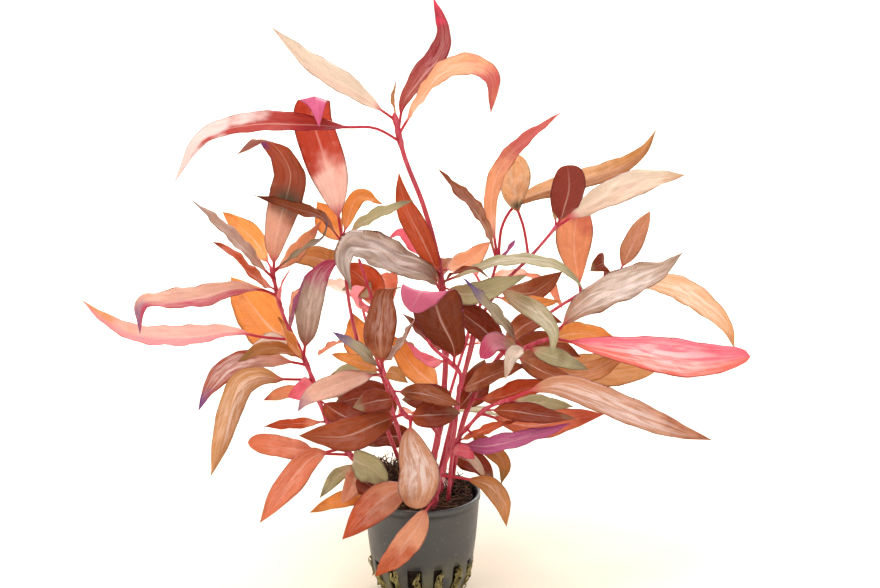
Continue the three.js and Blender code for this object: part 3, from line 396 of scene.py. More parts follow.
# The underside of a leaf's end where it is another colour than the rest
CURLED = {"blush": "#dc6c98", "russet": "#e07896", "magenta": "#f6b4b4", "silver": "#c03c70"}


def linear(colour):
    """Turns an sRGB hex value into a linear colour."""
    parts = np.array([int(colour[i:i + 2], 16) for i in (1, 3, 5)]) / 255
    flat = np.where(parts <= 0.04045, parts / 12.92, ((parts + 0.055) / 1.055) ** 2.4)
    return tuple(float(part) for part in flat)


def colour_property(name, colour, description):
    return FloatVectorProperty(name=name, description=description, default=linear(colour), size=3,
        min=0, max=1, subtype="COLOR")


class LeafSettings(bpy.types.PropertyGroup):
    """Sizes of the leaves' blades, and how they take the light."""
    thickness: FloatProperty(name="Thickness", description="Thickness of a blade beside its midrib",
        default=0.35 * MM, min=0.05 * MM, max=2 * MM, unit="LENGTH", subtype="DISTANCE")
    fullness: FloatProperty(name="Fullness", description="Blade width against the width in its row",
        default=1.06, min=0.5, max=1.5)
    waviness: FloatProperty(name="Waviness", description="How high the waves of the edges are",
        default=1, min=0, max=4)
    translucency: FloatProperty(name="Translucency", description="Share of light let through a blade",
        default=0.42, min=0, max=1, subtype="FACTOR")
    roughness: FloatProperty(name="Roughness", description="Roughness of the waxy skin",
        default=0.36, min=0, max=1, subtype="FACTOR")


class LeafColours(bpy.types.PropertyGroup):
    """The main colour of each leaf finish."""
    __annotations__ = {finish: colour_property(finish.title(), colours[1], description)
        for finish, (description, *colours) in FINISHES.items()}


class StemSettings(bpy.types.PropertyGroup):
    """Sizes and colour of the stems."""
    girth: FloatProperty(name="Girth", description="Stem thickness against the thickness in its row",
        default=0.85, min=0.5, max=2)
    swelling: FloatProperty(name="Joint swelling", description="How much a stem swells at its joints",
        default=0.45, min=0, max=2)
    colour: colour_property("Colour", "#ba364a", "Crimson of the stems")


class PotSettings(bpy.types.PropertyGroup):
    """The pot, the wool in it and the roots."""
    wall: FloatProperty(name="Wall", description="Thickness of the pot's wall",
        default=POT_WALL * MM, min=0.5 * MM, max=3 * MM, unit="LENGTH", subtype="DISTANCE")
    colour: colour_property("Plastic", "#141b20", "Grey of the moulded pot")
    wool_colour: colour_property("Wool", "#3e2318", "Brown of the wet mineral wool")
    fibres: IntProperty(name="Fibres", description="Loose fibres and dead roots on the wool",
        default=560, min=0, max=1000)
    roots: IntProperty(name="Roots", description="Roots that show in the slots",
        default=240, min=0, max=400)


class StageSettings(bpy.types.PropertyGroup):
    """The floor and the light around the plant."""
    light: FloatProperty(name="Light", description="Strength of the studio lights",
        default=1, min=0, max=10)
    sky: FloatProperty(name="Surrounding light", description="Strength of the white surroundings",
        default=0.75, min=0, max=10)
    floor_glow: FloatProperty(name="Floor glow", description="Light that the floor gives off itself",
        default=0.3, min=0, max=5)
    floor: colour_property("Floor", "#e8dcca", "Colour of the pale floor")


def even_route(points, places):
    """A centripetal Catmull-Rom line through the points, at shares of its length or a count of even ones.

    Each stretch is the cubic that leaves its first point and reaches its second along tangents worked
    out from the neighbours, weighted by the square root of their distances."""
    line = np.array(points, float)
    line = np.vstack([2 * line[0] - line[1], line, 2 * line[-1] - line[-2]])
    before, first, second, after = line[:-3], line[1:-2], line[2:-1], line[3:]
    gaps = [np.sqrt(np.linalg.norm(b - a, axis=1))[:, None]
        for a, b in ((before, first), (first, second), (second, after))]
    leave = ((first - before) / gaps[0] - (second - before) / (gaps[0] + gaps[1])
        + (second - first) / gaps[1]) * gaps[1]
    arrive = ((second - first) / gaps[1] - (after - first) / (gaps[1] + gaps[2])
        + (after - second) / gaps[2]) * gaps[1]
    u = np.linspace(0, 1, 40, endpoint=False)[None, :, None]
    dense = ((2 * u**3 - 3 * u**2 + 1) * first[:, None] + (u**3 - 2 * u**2 + u) * leave[:, None]
        + (3 * u**2 - 2 * u**3) * second[:, None] + (u**3 - u**2) * arrive[:, None])
    dense = np.vstack([dense.reshape(-1, 3), line[-2]])
    steps = np.linalg.norm(np.diff(dense, axis=0), axis=1)
    run = np.concatenate([[0], np.cumsum(steps)])
    reached = run[-1] * (np.linspace(0, 1, places) if np.isscalar(places) else places)
    return np.stack([np.interp(reached, run, dense[:, axis]) for axis in range(3)], axis=1), run[-1]


def unit(vectors):
    """Each vector over its own length."""
    return vectors / np.maximum(np.linalg.norm(vectors, axis=-1, keepdims=True), 1e-9)


def fall(distance):
    """A bell that is 1 at distance 0 and close to nothing at distance 2."""
    return np.exp(-distance**2)


def tube_faces(rings, sides):
    """Quads between rings of equally many points, and a cap on each end."""
    ring, side = np.meshgrid(np.arange(rings - 1), np.arange(sides), indexing="ij")
    here = ring * sides + side
    beside = ring * sides + (side + 1) % sides
    quads = np.stack([here, beside, beside + sides, here + sides], axis=-1).reshape(-1, 4)
    first = np.arange(sides)[::-1]
    return quads.tolist() + [first.tolist(), (np.arange(sides) + (rings - 1) * sides).tolist()]


def signed_volume(points, faces):
    """Above 0 when the quads face outwards: the sum of each half's first corner dot the others' cross."""
    quads = np.array([face for face in faces if len(face) == 4])
    a, b, c, d = (points[quads[:, k]] for k in range(4))
    return float(np.sum(a * np.cross(b, c)) + np.sum(a * np.cross(c, d)))


def add_piece(name, points, faces, material, replaced=(), uv=None, values=None, face_values=None):
    """Makes a smooth-shaded piece from points in millimetres, with every face outwards."""
    if signed_volume(points, faces) < 0:
        faces = [face[::-1] for face in faces]
    mesh = bpy.data.meshes.new(name)
    mesh.from_pydata((points * MM).tolist(), [], faces)
    if uv is not None:
        corners = np.zeros(len(mesh.loops), dtype=np.int32)
        mesh.loops.foreach_get("vertex_index", corners)
        layer = mesh.uv_layers.new(name="blade")
        layer.data.foreach_set("uv", uv[corners].astype(np.float32).ravel())
    for domain, arrays in (("POINT", values), ("FACE", face_values)):
        for title, array in (arrays or {}).items():
            mesh.attributes.new(title, "FLOAT", domain).data.foreach_set("value", array.astype(np.float32))
    mesh.shade_smooth()
    mesh.update()
    piece = bpy.data.objects.new(name, mesh)
    bpy.context.scene.collection.objects.link(piece)
    piece.data.materials.append(material)
    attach(piece, "root")
    if replaced:
        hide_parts(*replaced)


def stem_line(name):
    """A stem's middle line from a little inside the wool to its tip, and its radius along that."""
    radius, route = STEMS[name]
    line, _ = even_route(route, STEM_RINGS)
    root = line[0] - (line[1] - line[0]) / np.linalg.norm(line[1] - line[0]) * 3
    line = np.vstack([root, line])
    share = np.concatenate([[0], np.linspace(0, 1, STEM_RINGS)])
    return line, radius * (1 - 0.3 * share)


def stem_at(name, height):
    """The place on a stem at a height, and its radius there."""
    line, radius = stem_line(name)
    place = [np.interp(height, line[:, 2], line[:, axis]) for axis in range(3)]
    return np.array(place), float(np.interp(height, line[:, 2], radius))


def tube(line, across, outward, size, sides):
    """Points of a round tube: at each angle, its size times (across * cosine + outward * sine)."""
    angle = np.linspace(0, 2 * np.pi, sides, endpoint=False)[None, :, None]
    around = across[:, None] * np.cos(angle) + outward[:, None] * np.sin(angle)
    return (line[:, None] + size[:, None, None] * around).reshape(-1, 3)


def leaf_frame(row, line, stations):
    """The directions at each ring of a leaf: across its blade and up from it, rolled towards the viewer.

    Across is level at first, square to the side that the leaf leans to, and turned by the roll's cosine
    and sine."""
    along = unit(np.gradient(line, stations, axis=0))
    chord = line[-1] - line[0]
    heading = math.atan2(chord[1], chord[0]) if row["heading"] is None else math.radians(row["heading"])
    level = np.array([math.sin(heading), -math.cos(heading), 0])
    front = -1 if level[1] > 0 else 1
    roll = np.radians(row["turn"] + row["twist"] * stations)[:, None] * front
    side = unit(level - along * (along @ level)[:, None])
    face = np.cross(side, along)
    return side * np.cos(roll) - face * np.sin(roll), face * np.cos(roll) + side * np.sin(roll)


def leaf_surface(row, settings, index):
    """Points of a leaf as rings round its middle line, with where each lies on the blade.

    The half width is share**0.8 * (1 - share), or its square root for a blunt tip, over its peak. The
    two halves are raised by the fold, the edges wave as a sine of the length and are 6% uneven, a rib
    stands out underneath, and the skins are a lens apart: root of (1 - across squared)."""
    rng = np.random.default_rng([SEED, index])
    petiole_rings, blade_rings, steps_across, stalk_radius = LEAF_GRIDS[row["own_node"]]
    foot, _ = stem_at(row["stem"], row["height"])
    petiole = row["petiole"]
    stations = np.concatenate([np.linspace(0, petiole, petiole_rings, endpoint=False),
        petiole + (1 - petiole) * np.linspace(0, 1, blade_rings)])
    line, length = even_route([tuple(foot)] + row["route"], stations)
    across, upper = leaf_frame(row, line, stations)

    # Outlines: the blade's and the stalk's half widths, and the ring of points round both skins
    share = np.clip((stations - petiole) / (1 - petiole), 0, 1)
    closing = 0.5 if row["blunt"] else 1
    peak = 0.8 / (0.8 + closing)
    full = peak**0.8 * (1 - peak) ** closing
    blade = row["width"] / 2 * settings.fullness * share**0.8 * (1 - share) ** closing / full
    stalk = stalk_radius * (1 - 0.72 * share) * (1 + 0.6 * fall(stations * length / 1.6))
    half = np.hypot(blade, stalk)
    steps = np.linspace(-1, 1, steps_across)
    top = (np.sign(steps) * np.abs(steps) ** 1.25)[::-1]
    ring = np.concatenate([top, top[::-1][1:-1]])
    skin = np.concatenate([np.ones(len(top)), -np.ones(len(top) - 2)])
    ring_half = half[:, None] * np.where(ring > 0, *(1 + rng.uniform(-0.05, 0.05, 2)))
    uneven = np.where(ring > 0, *rng.uniform(0, 2 * np.pi, 2)) + share[:, None] * rng.uniform(6, 11)
    ring_half = ring_half * (1 + 0.06 * np.sin(uneven) * (blade / half)[:, None])

    # Heights: the fold, two sizes of waves on the edges, pleats, and the rib and the skins
    on_blade = np.clip(blade / np.maximum(half, 1e-6), 0, 1)[:, None] ** 2
    fold = math.radians(row["fold"])
    lift = ring_half * math.sin(fold) * (np.sqrt(ring**2 + 0.03) - 0.17) * on_blade
    window = np.sin(np.pi * np.clip(share, 0, 1))[:, None] ** 0.6
    waves = length * (1 - petiole) / rng.uniform(10, 15)
    phase = np.where(ring > 0, *rng.uniform(0, 2 * np.pi, 2))
    wave = row["wave"] * settings.waviness * (ring**2) * window
    lift = lift + wave * np.sin(2 * np.pi * waves * share[:, None] + phase)
    lift = lift + 0.35 * wave * np.sin(4.6 * np.pi * waves * share[:, None] + 2 * phase)
    if row["crumple"]:
        pleats = sum(np.sin(ring * a + share[:, None] * b + c) / k for a, b, c, k in zip(
            (5.5, 8.2, 3.1, 11.0), (9, -14, 23, 31), rng.uniform(0, 6.28, 4), (1, 1.4, 1.6, 2.2)))
        lift = lift + row["crumple"] * 0.45 * pleats * on_blade * window
    rib = fall(ring * ring_half / (1.25 * stalk[:, None]))
    thin = settings.thickness / MM / 2 * (1 - 0.5 * share[:, None])
    under = thin + (stalk[:, None] - thin) * rib
    above = thin + (stalk[:, None] - thin) * rib * (1 - 0.9 * on_blade)
    dome = np.sqrt(np.clip(1 - ring**2, 0, 1))
    rise = lift + dome * np.where(skin > 0, above, -under)
    reach = ring * ring_half * (1 - (1 - math.cos(fold)) * on_blade)
    points = line[:, None] + across[:, None] * reach[..., None] + upper[:, None] * rise[..., None]

    # What the material reads at each point
    start, end = row["tone"]
    grid_share = np.broadcast_to((stations - petiole)[:, None] / (1 - petiole), ring_half.shape)
    # frost, partly silvery wax and partly a painted highlight, is strongest near the midrib in the middle
    # of the blade
    frost = row["frost"] * fall((ring - 0.05) * 1.1) * window**2
    # The half that hangs lower, or on an upright leaf the right one, is the side turned from the light, and
    # it gets painted shade; skew also holds that half back along the finish's row
    lean = np.mean(across, axis=0)
    low = -np.sign(lean[2]) if abs(lean[2]) > 0.3 else np.sign(lean[0])
    half_side = ring * low * (1 if row["cheek"] >= 0 else -1)
    blush = start + (end - start) * share[:, None] - row["skew"] * np.clip(ring * low * 3, -1, 1)
    cheek = abs(row["cheek"]) * np.clip(half_side * 2.2 + 0.35, 0, 1) * np.ones_like(ring_half)
    smudge = fall((share[:, None] - row["smudge"]) / 0.07) * fall(ring - 0.2)
    uv = np.stack([np.broadcast_to((ring + 1) / 2, ring_half.shape), grid_share], axis=-1)
    count = len(ring)
    faces = tube_faces(len(stations), count)
    beneath = np.tile((np.arange(count) >= len(top) - 1).astype(float), len(stations) - 1)
    beneath = np.concatenate([beneath, [0, 0]])
    return (points.reshape(-1, 3), faces, uv.reshape(-1, 2),
        {"blush": blush.ravel(), "frost": frost.ravel(), "cheek": cheek.ravel(), "smudge": smudge.ravel()},
        {"underside": beneath})


def strands(routes, radii):
    """Many thin strands as one list of points and faces, each turned the right way out."""
    pattern = tube_faces(STRAND_RINGS, STRAND_SIDES)
    points = []
    faces = []
    for index, (route, radius) in enumerate(zip(routes, radii)):
        line, _ = even_route(route, STRAND_RINGS)
        along = unit(np.gradient(line, axis=0))
        across = unit(np.cross(along, np.where(np.abs(along[:, 2:]) > 0.9, [1.0, 0, 0], [0, 0, 1.0])))
        size = radius * (1 - STRAND_TAPER * np.linspace(0, 1, STRAND_RINGS))
        strand = tube(line, across, np.cross(along, across), size, STRAND_SIDES)
        shift = index * STRAND_SIDES * STRAND_RINGS
        turned = pattern if signed_volume(strand, pattern) > 0 else [face[::-1] for face in pattern]
        points.append(strand)
        faces.extend([[corner + shift for corner in face] for face in turned])
    return np.vstack(points), faces


# The setting that a kind of node is mostly chosen by
CHOICES = {"Math": "operation", "VectorMath": "operation", "Mix": "data_type",
    "MapRange": "interpolation_type"}


def node(tree, kind, sockets, choice=None, **settings):
    """Adds one node. A socket given another node's output is linked, any other value is set.

    A list gives the sockets in their order, and choice is for the setting in CHOICES."""
    made = tree.nodes.new(f"ShaderNode{kind}")
    if choice:
        setattr(made, CHOICES[kind], choice)
    for name, value in settings.items():
        setattr(made, name, value)
    for key, value in sockets.items() if isinstance(sockets, dict) else enumerate(sockets):
        if isinstance(value, bpy.types.NodeSocket):
            tree.links.new(value, made.inputs[key])
        else:
            made.inputs[key].default_value = value
    return made.outputs


def new_tree(name):
    """Makes an empty material, and the function that adds a node to it."""
    material = bpy.data.materials.new(name)
    material.use_nodes = True
    material.node_tree.nodes.clear()
    return material, functools.partial(node, material.node_tree)


def opaque(colour):
    """A hex value or a linear colour as a colour with full alpha."""
    return (*(linear(colour) if isinstance(colour, str) else tuple(colour)), 1)


def leaf_material(finish, settings, main_colour):
    """Waxy leaf cuticle: satin, thin enough to glow where the light is behind it."""
    _, base, _, tip, painted_shade_colour, under = FINISHES[finish]
    material, add = new_tree(f"{finish}_leaf_cuticle")
    place = add("TexCoord", [])["Object"]
    blade = add("UVMap", [], uv_map="blade")[0]
    u, v, _ = add("SeparateXYZ", [blade])
    centred = add("Math", [u, 0.5], "SUBTRACT")[0]
    half = add("Math", [centred], "ABSOLUTE")[0]
    aside = add("Math", [half, 2.0], "MULTIPLY")[0]
    blush, frost, cheek, smudge, beneath = (add("Attribute", [], attribute_name=name)["Fac"]
        for name in ("blush", "frost", "cheek", "smudge", "underside"))

    # Blotches about 9 mm across move the colour along the finish's row
    blotches = add("TexNoise", {"Vector": place, "Scale": 110.0, "Detail": 2.0})[0]
    spread = add("Math", [blotches, 0.7, -0.35], "MULTIPLY_ADD")[0]
    tone = add("Math", [blush, spread], "ADD")[0]
    young = add("MapRange", [tone, 0.0, 0.4], "SMOOTHSTEP")[0]
    old = add("MapRange", [tone, 0.7, 1.05], "SMOOTHSTEP")[0]
    upper = add("Mix", {0: young, 6: opaque(base), 7: opaque(main_colour)}, "RGBA")[2]
    upper = add("Mix", {0: old, 6: upper, 7: opaque(tip)}, "RGBA")[2]
    # Painted shade: the half turned from the light takes the finish's darker painted_shade_colour, in
    # patches from the blotches
    patch = add("Math", [blotches, 0.8, 0.6], "MULTIPLY_ADD")[0]
    turned = add("Math", [cheek, patch], "MULTIPLY", use_clamp=True)[0]
    upper = add("Mix", {0: turned, 6: upper, 7: opaque(painted_shade_colour)}, "RGBA")[2]
    # The underside that shows where a leaf's end folds over
    lower = add("Mix", {0: old, 6: opaque(under), 7: opaque(CURLED.get(finish, under))}, "RGBA")[2]

    # Side veins leave the midrib slanting towards the tip, about 4 mm apart
    slant = add("Math", [aside, -1.9], "MULTIPLY")[0]
    order = add("Math", [v, 12.0, slant], "MULTIPLY_ADD")[0]
    ripple = add("Math", [order, 0.5], "PINGPONG")[0]
    vein = add("MapRange", [ripple, 0.0, 0.12, 1.0, 0.0], "SMOOTHSTEP")[0]
    rib = add("MapRange", [aside, 0.015, 0.075, 1.0, 0.0], "SMOOTHSTEP")[0]
    rib_fade = add("MapRange", [v, 0.35, 1.0, 0.42, 0.06])[0]

    # Feathered streaks follow the side veins, and fine ones run along the blade
    feather = add("CombineXYZ", [aside, order, blush])[0]
    feathers = add("TexNoise", {"Vector": feather, "Scale": 1.15, "Detail": 2.0, "Roughness": 0.5})[0]
    lengthwise = add("Mapping", {"Vector": blade, "Scale": (15.0, 2.2, 1.0)})[0]
    threads = add("TexNoise", {"Vector": lengthwise, "Scale": 1.0, "Detail": 1.0, "Roughness": 0.5})[0]
    streaks = add("Mix", {0: 0.6, 2: feathers, 3: threads}, "FLOAT")[0]
    value = add("MapRange", [streaks, 0.3, 0.7, 0.9, 1.1])[0]
    upper = add("HueSaturation", {"Color": upper, "Value": value})[0]

    # A painted highlight, partly the silvery wax itself: near-white where the wax catches the light, broken
    # up by the streaks and by creases
    creases = add("Mapping", {"Vector": blade, "Scale": (7.0, 3.6, 1.0), "Rotation": (0.0, 0.0, 0.35)})[0]
    creases = add("TexNoise", {"Vector": creases, "Scale": 1.0, "Detail": 3.0, "Distortion": 1.2})[0]
    sheen = add("Mix", {0: 0.55, 2: streaks, 3: creases}, "FLOAT")[0]
    painted_highlight = add("MapRange", [sheen, 0.42, 0.58], "SMOOTHSTEP")[0]
    cover = add("Math", [frost, frost], "MULTIPLY")[0]
    painted_highlight = add("Math", [painted_highlight, frost], "MULTIPLY")[0]
    painted_highlight = add("Math", [painted_highlight, 0.85], "MULTIPLY")[0]
    painted_highlight = add("Math", [cover, 0.28, painted_highlight], "MULTIPLY_ADD", use_clamp=True)[0]
    painted_highlight = add("Math", [painted_highlight, 0.85], "MULTIPLY")[0]
    upper = add("Mix", {0: painted_highlight, 6: upper, 7: opaque("#f2eae6")}, "RGBA")[2]
    skin = add("Mix", {0: beneath, 6: upper, 7: lower}, "RGBA")[2]
    # Over that lie the veins, the midrib, the edge, a stain and the colour of the stalk
    faint = add("Math", [vein, 0.03], "MULTIPLY")[0]
    strong = add("Math", [rib, rib_fade], "MULTIPLY")[0]
    edge = add("MapRange", [aside, 0.9, 1.0, 0.0, 0.4])[0]
    stain = add("MapRange", [streaks, 0.3, 0.5, 0.3, 1.0])[0]
    stain = add("Math", [stain, smudge], "MULTIPLY", use_clamp=True)[0]
    stalk = add("MapRange", [v, -0.02, 0.08, 1.0, 0.0])[0]
    for share, colour in ((faint, "#f2c2b0"), (strong, "#f6dacc"), (edge, "#a8506c"), (stain, "#5a5a4a"),
            (stalk, "#cc4a5c")):
        skin = add("Mix", {0: share, 6: skin, 7: opaque(colour)}, "RGBA")[2]

    # Cell grain well under a millimetre, drawn at 0.8 mm so that it shows
    fine = add("TexNoise", {"Vector": place, "Scale": 1250.0, "Detail": 1.0})[0]
    value = add("MapRange", [fine, 0.3, 0.7, 0.96, 1.04])[0]
    skin = add("HueSaturation", {"Color": skin, "Value": value})[0]
    relief = add("Math", [vein, -0.3, streaks], "MULTIPLY_ADD")[0]
    relief = add("Math", [fine, 0.1, relief], "MULTIPLY_ADD")[0]
    wrinkles = add("Math", [creases, frost], "MULTIPLY")[0]
    relief = add("Math", [wrinkles, 2.0, relief], "MULTIPLY_ADD")[0]
    bump = add("Bump", {"Height": relief, "Strength": 0.5, "Distance": 0.0005})[0]
    surface = add("BsdfPrincipled", {"Base Color": skin, "Normal": bump, "Roughness": settings.roughness,
        "IOR": 1.45, "Specular IOR Level": 0.16, "Coat Weight": 0.03, "Coat Roughness": 0.2})[0]
    glow = add("HueSaturation", {"Color": skin, "Saturation": 1.0, "Value": 1.15})[0]
    through = add("BsdfTranslucent", {"Color": glow, "Normal": bump})[0]
    mixed = add("MixShader", [settings.translucency, surface, through])[0]
    add("OutputMaterial", [mixed])
    return material


def stem_material(settings):
    """Juicy plant stem: smooth crimson skin with pale streaks along it."""
    material, add = new_tree("crimson_stem_skin")
    place = add("TexCoord", [])["Object"]
    # Streaks a millimetre wide and a centimetre long
    flat = add("Mapping", {"Vector": place, "Scale": (1.0, 1.0, 0.12)})[0]
    streaks = add("TexNoise", {"Vector": flat, "Scale": 700.0, "Detail": 3.0})[0]
    share = add("MapRange", [streaks, 0.35, 0.7])[0]
    skin = add("Mix", {0: share, 6: opaque(settings.colour), 7: opaque("#d8687a")}, "RGBA")[2]
    patches = add("TexNoise", {"Vector": place, "Scale": 60.0, "Detail": 2.0})[0]
    dark = add("MapRange", [patches, 0.5, 0.75, 0.0, 0.6])[0]
    skin = add("Mix", {0: dark, 6: skin, 7: opaque("#8c2034")}, "RGBA")[2]
    bump = add("Bump", {"Height": streaks, "Strength": 0.4, "Distance": 0.0003})[0]
    surface = add("BsdfPrincipled", {"Base Color": skin, "Normal": bump, "Roughness": 0.38,
        "IOR": 1.45})[0]
    glow = add("HueSaturation", {"Color": skin, "Saturation": 1.1, "Value": 1.4})[0]
    through = add("BsdfTranslucent", {"Color": glow})[0]
    mixed = add("MixShader", [0.25, surface, through])[0]
    add("OutputMaterial", [mixed])
    return material


def pot_material(settings):
    """Moulded polypropylene: even dark grey, satin, with water marks and green film near its foot."""
    material, add = new_tree("moulded_polypropylene")
    place = add("TexCoord", [])["Object"]
    height = add("SeparateXYZ", [place])[2]
    cloud = add("TexNoise", {"Vector": place, "Scale": 110.0, "Detail": 5.0})[0]
    tide = add("MapRange", [height, 0.004, 0.024, 0.62, 0.0])[0]
    film = add("MapRange", [cloud, 0.42, 0.62])[0]
    film = add("Math", [film, tide], "MULTIPLY")[0]
    skin = add("Mix", {0: film, 6: opaque(settings.colour), 7: opaque("#7f7a4a")}, "RGBA")[2]
    marks = add("TexNoise", {"Vector": place, "Scale": 420.0, "Detail": 3.0, "Roughness": 0.7})[0]
    chalk = add("MapRange", [marks, 0.62, 0.74, 0.0, 0.22])[0]
    skin = add("Mix", {0: chalk, 6: skin, 7: opaque("#b9bab2")}, "RGBA")[2]
    gloss = add("MapRange", [cloud, 0.3, 0.7, 0.36, 0.5])[0]
    # Spark-eroded mould grain, drawn at about 0.7 mm
    grain = add("TexNoise", {"Vector": place, "Scale": 1400.0, "Detail": 2.0})[0]
    bump = add("Bump", {"Height": grain, "Strength": 0.12, "Distance": 0.0002})[0]
    surface = add("BsdfPrincipled", {"Base Color": skin, "Roughness": gloss,
        "Normal": bump, "IOR": 1.49, "Specular IOR Level": 0.95})[0]
    add("OutputMaterial", [surface])
    return material


def matter_material(name, first, second, scale, rough):
    """Wet fibrous matter in two colours, broken up at the size that scale gives in metres."""
    material, add = new_tree(name)
    place = add("TexCoord", [])["Object"]
    clumps = add("TexNoise", {"Vector": place, "Scale": 1 / scale, "Detail": 5.0, "Roughness": 0.7})[0]
    share = add("MapRange", [clumps, 0.38, 0.62])[0]
    skin = add("Mix", {0: share, 6: opaque(first), 7: opaque(second)}, "RGBA")[2]
    bump = add("Bump", {"Height": clumps, "Strength": 0.8, "Distance": 0.0008})[0]
    surface = add("BsdfPrincipled", {"Base Color": skin, "Roughness": rough, "Normal": bump})[0]
    add("OutputMaterial", [surface])
    return material


def wall_at(height):
    """The radius of the pot's outer wall at a height."""
    radii, heights = zip(*POT_WALL_LINE)
    return np.interp(height, heights, radii)


class PLANT_OT_pot(bpy.types.Operator):
    """Adds the net pot: a wall of two skins turned about the axis, open where the slots are"""
    bl_idname = "plant.add_pot"
    bl_label = "Add the net pot"

    def execute(self, context):
        settings = context.scene.plant_pot
        wall = settings.wall / MM
        rim, lip_foot = POT_WALL_LINE[-1]
        lift = np.concatenate([[0, 1.3, SLOT_FOOT], np.linspace(SLOT_FOOT, SLOT_HEAD, 12)[1:],
            np.linspace(SLOT_HEAD, lip_foot, 9)[1:]])
        reach = wall_at(lift)
        outer = np.column_stack([reach, lift])
        outer = np.vstack([outer, [rim + POT_LIP * 0.8, lip_foot], [rim + POT_LIP, lip_foot + 0.3],
            [rim + POT_LIP, POT_HEIGHT - 0.35], [rim + POT_LIP * 0.75, POT_HEIGHT]])
        inner = np.column_stack([reach - wall, np.maximum(lift, wall)])
        inner[0] = [reach[0] - wall / 2, wall]
        inner = np.vstack([inner, [rim - wall, lip_foot + 0.1], [rim - wall, lip_foot + 0.6],
            [rim - wall, POT_HEIGHT - 0.35], [rim - wall * 0.75, POT_HEIGHT]])

        # Within a slot's share of the turn, four steps cross the slot and eight the bar beside it
        turn = 2 * np.pi / SLOT_COUNT
        half_slot = np.arcsin(SLOT_WIDTH / 2 / outer[:, 0])
        in_slot = np.linspace(-1, 1, SLOT_COLUMNS + 1)
        on_bar = np.linspace(0, 1, 9)[1:-1]
        angles = np.concatenate([half_slot[:, None] * in_slot,
            half_slot[:, None] + (turn - 2 * half_slot[:, None]) * on_bar], axis=1)
        angles = (angles[:, None] + (np.arange(SLOT_COUNT) + SLOT_TURN)[None, :, None] * turn - np.pi / 2)
        angles = angles.reshape(len(outer), -1)
        columns = angles.shape[1]

        def skin(profile):
            return np.stack([profile[:, :1] * np.cos(angles), profile[:, :1] * np.sin(angles),
                np.broadcast_to(profile[:, 1:], angles.shape)], axis=-1)

        inside = len(outer) * columns
        points = np.concatenate([skin(outer).reshape(-1, 3), skin(inner).reshape(-1, 3),
            [[0, 0, 0], [0, 0, wall]]])
        open_rows = (outer[:-1, 1] >= SLOT_FOOT - 1e-6) & (outer[1:, 1] <= SLOT_HEAD + 1e-6)
        open_columns = np.arange(columns) % OPENING_EVERY < SLOT_COLUMNS
        solid = ~(open_rows[:, None] & open_columns[None, :])
        none = np.zeros_like(solid)
        # The two skins' quads, then those that close the wall where a cell lacks its neighbour at the left,
        # right, foot or head. Each corner is given as steps up, steps round, and 1 on the inner skin
        kinds = (
            (none, ((0, 0, 0), (0, 1, 0), (1, 1, 0), (1, 0, 0))),
            (none, ((0, 0, 1), (1, 0, 1), (1, 1, 1), (0, 1, 1))),
            (np.roll(solid, 1, axis=1), ((0, 0, 0), (1, 0, 0), (1, 0, 1), (0, 0, 1))),
            (np.roll(solid, -1, axis=1), ((0, 1, 0), (0, 1, 1), (1, 1, 1), (1, 1, 0))),
            (np.vstack([~none[:1], solid[:-1]]), ((0, 0, 0), (0, 0, 1), (0, 1, 1), (0, 1, 0))),
            (np.vstack([solid[1:], none[:1]]), ((1, 0, 0), (1, 1, 0), (1, 1, 1), (1, 0, 1))),
        )
        quads = []
        for neighbour, corners in kinds:
            row, column = np.nonzero(solid & ~neighbour)
            quads.append(np.stack([(row + up) * columns + (column + beside) % columns + layer * inside
                for up, beside, layer in corners], axis=1))
        ring = np.arange(columns)
        step = (ring + 1) % columns
        centre = np.full(columns, 2 * inside)
        foot = np.stack([centre, step, ring], axis=1)
        floor = np.stack([centre + 1, ring + inside, step + inside], axis=1)
        faces = np.vstack(quads).tolist() + foot.tolist() + floor.tolist()
        add_piece("pot_shell", points, faces, pot_material(settings), ("net_pot",))
        return {"FINISHED"}


class PLANT_OT_wool(bpy.types.Operator):
    """Adds the rock wool: a lumpy plug turned about the axis, raised and sunk by waves of three sizes"""
    bl_idname = "plant.add_wool"
    bl_label = "Add the rock wool"

    def execute(self, context):
        settings = context.scene.plant_pot
        clear = POT_WALL + 0.35
        profile = np.array([(0.4, clear), (6, clear), (13, clear), (15.6, 2.8), (18.2, 9), (19.8, 15),
            (21.6, 28), (22.2, 38), (21.6, WOOL_TOP - 2), (17, WOOL_TOP - 0.4), (11, WOOL_TOP),
            (5, WOOL_TOP), (0.4, WOOL_TOP)])
        rings, sides = 90, 96
        spacing = np.concatenate([[0], np.cumsum(np.linalg.norm(np.diff(profile, axis=0), axis=1))])
        along = np.linspace(0, spacing[-1], rings)
        reach, height = (np.interp(along, spacing, profile[:, axis])[:, None] for axis in range(2))
        angle = np.linspace(0, 2 * np.pi, sides, endpoint=False)[None, :]
        starts = np.random.default_rng(SEED).uniform(0, 6.28, 5)
        waves = zip((5, 9, 14, 23, 31), (0.5, -0.9, 1.3, -2.1, 2.9), starts, (1, 1.3, 1.6, 2, 2.4))
        lumps = sum(np.sin(angle * turns + along[:, None] * rate + start) / size
            for turns, rate, start, size in waves)
        swell = 0.32 * lumps * np.clip(reach / 6, 0, 1)
        upward = (height > WOOL_TOP - 3) * 0.8
        out = reach + swell - 0.5
        points = np.stack([out * np.cos(angle), out * np.sin(angle),
            np.broadcast_to(height, swell.shape) + swell * upward], axis=-1).reshape(-1, 3)
        wool = matter_material("wet_mineral_wool", settings.wool_colour, "#150c09", 0.003, 0.95)
        add_piece("wool_plug", points, tube_faces(rings, sides), wool, ("rock_wool",))
        return {"FINISHED"}


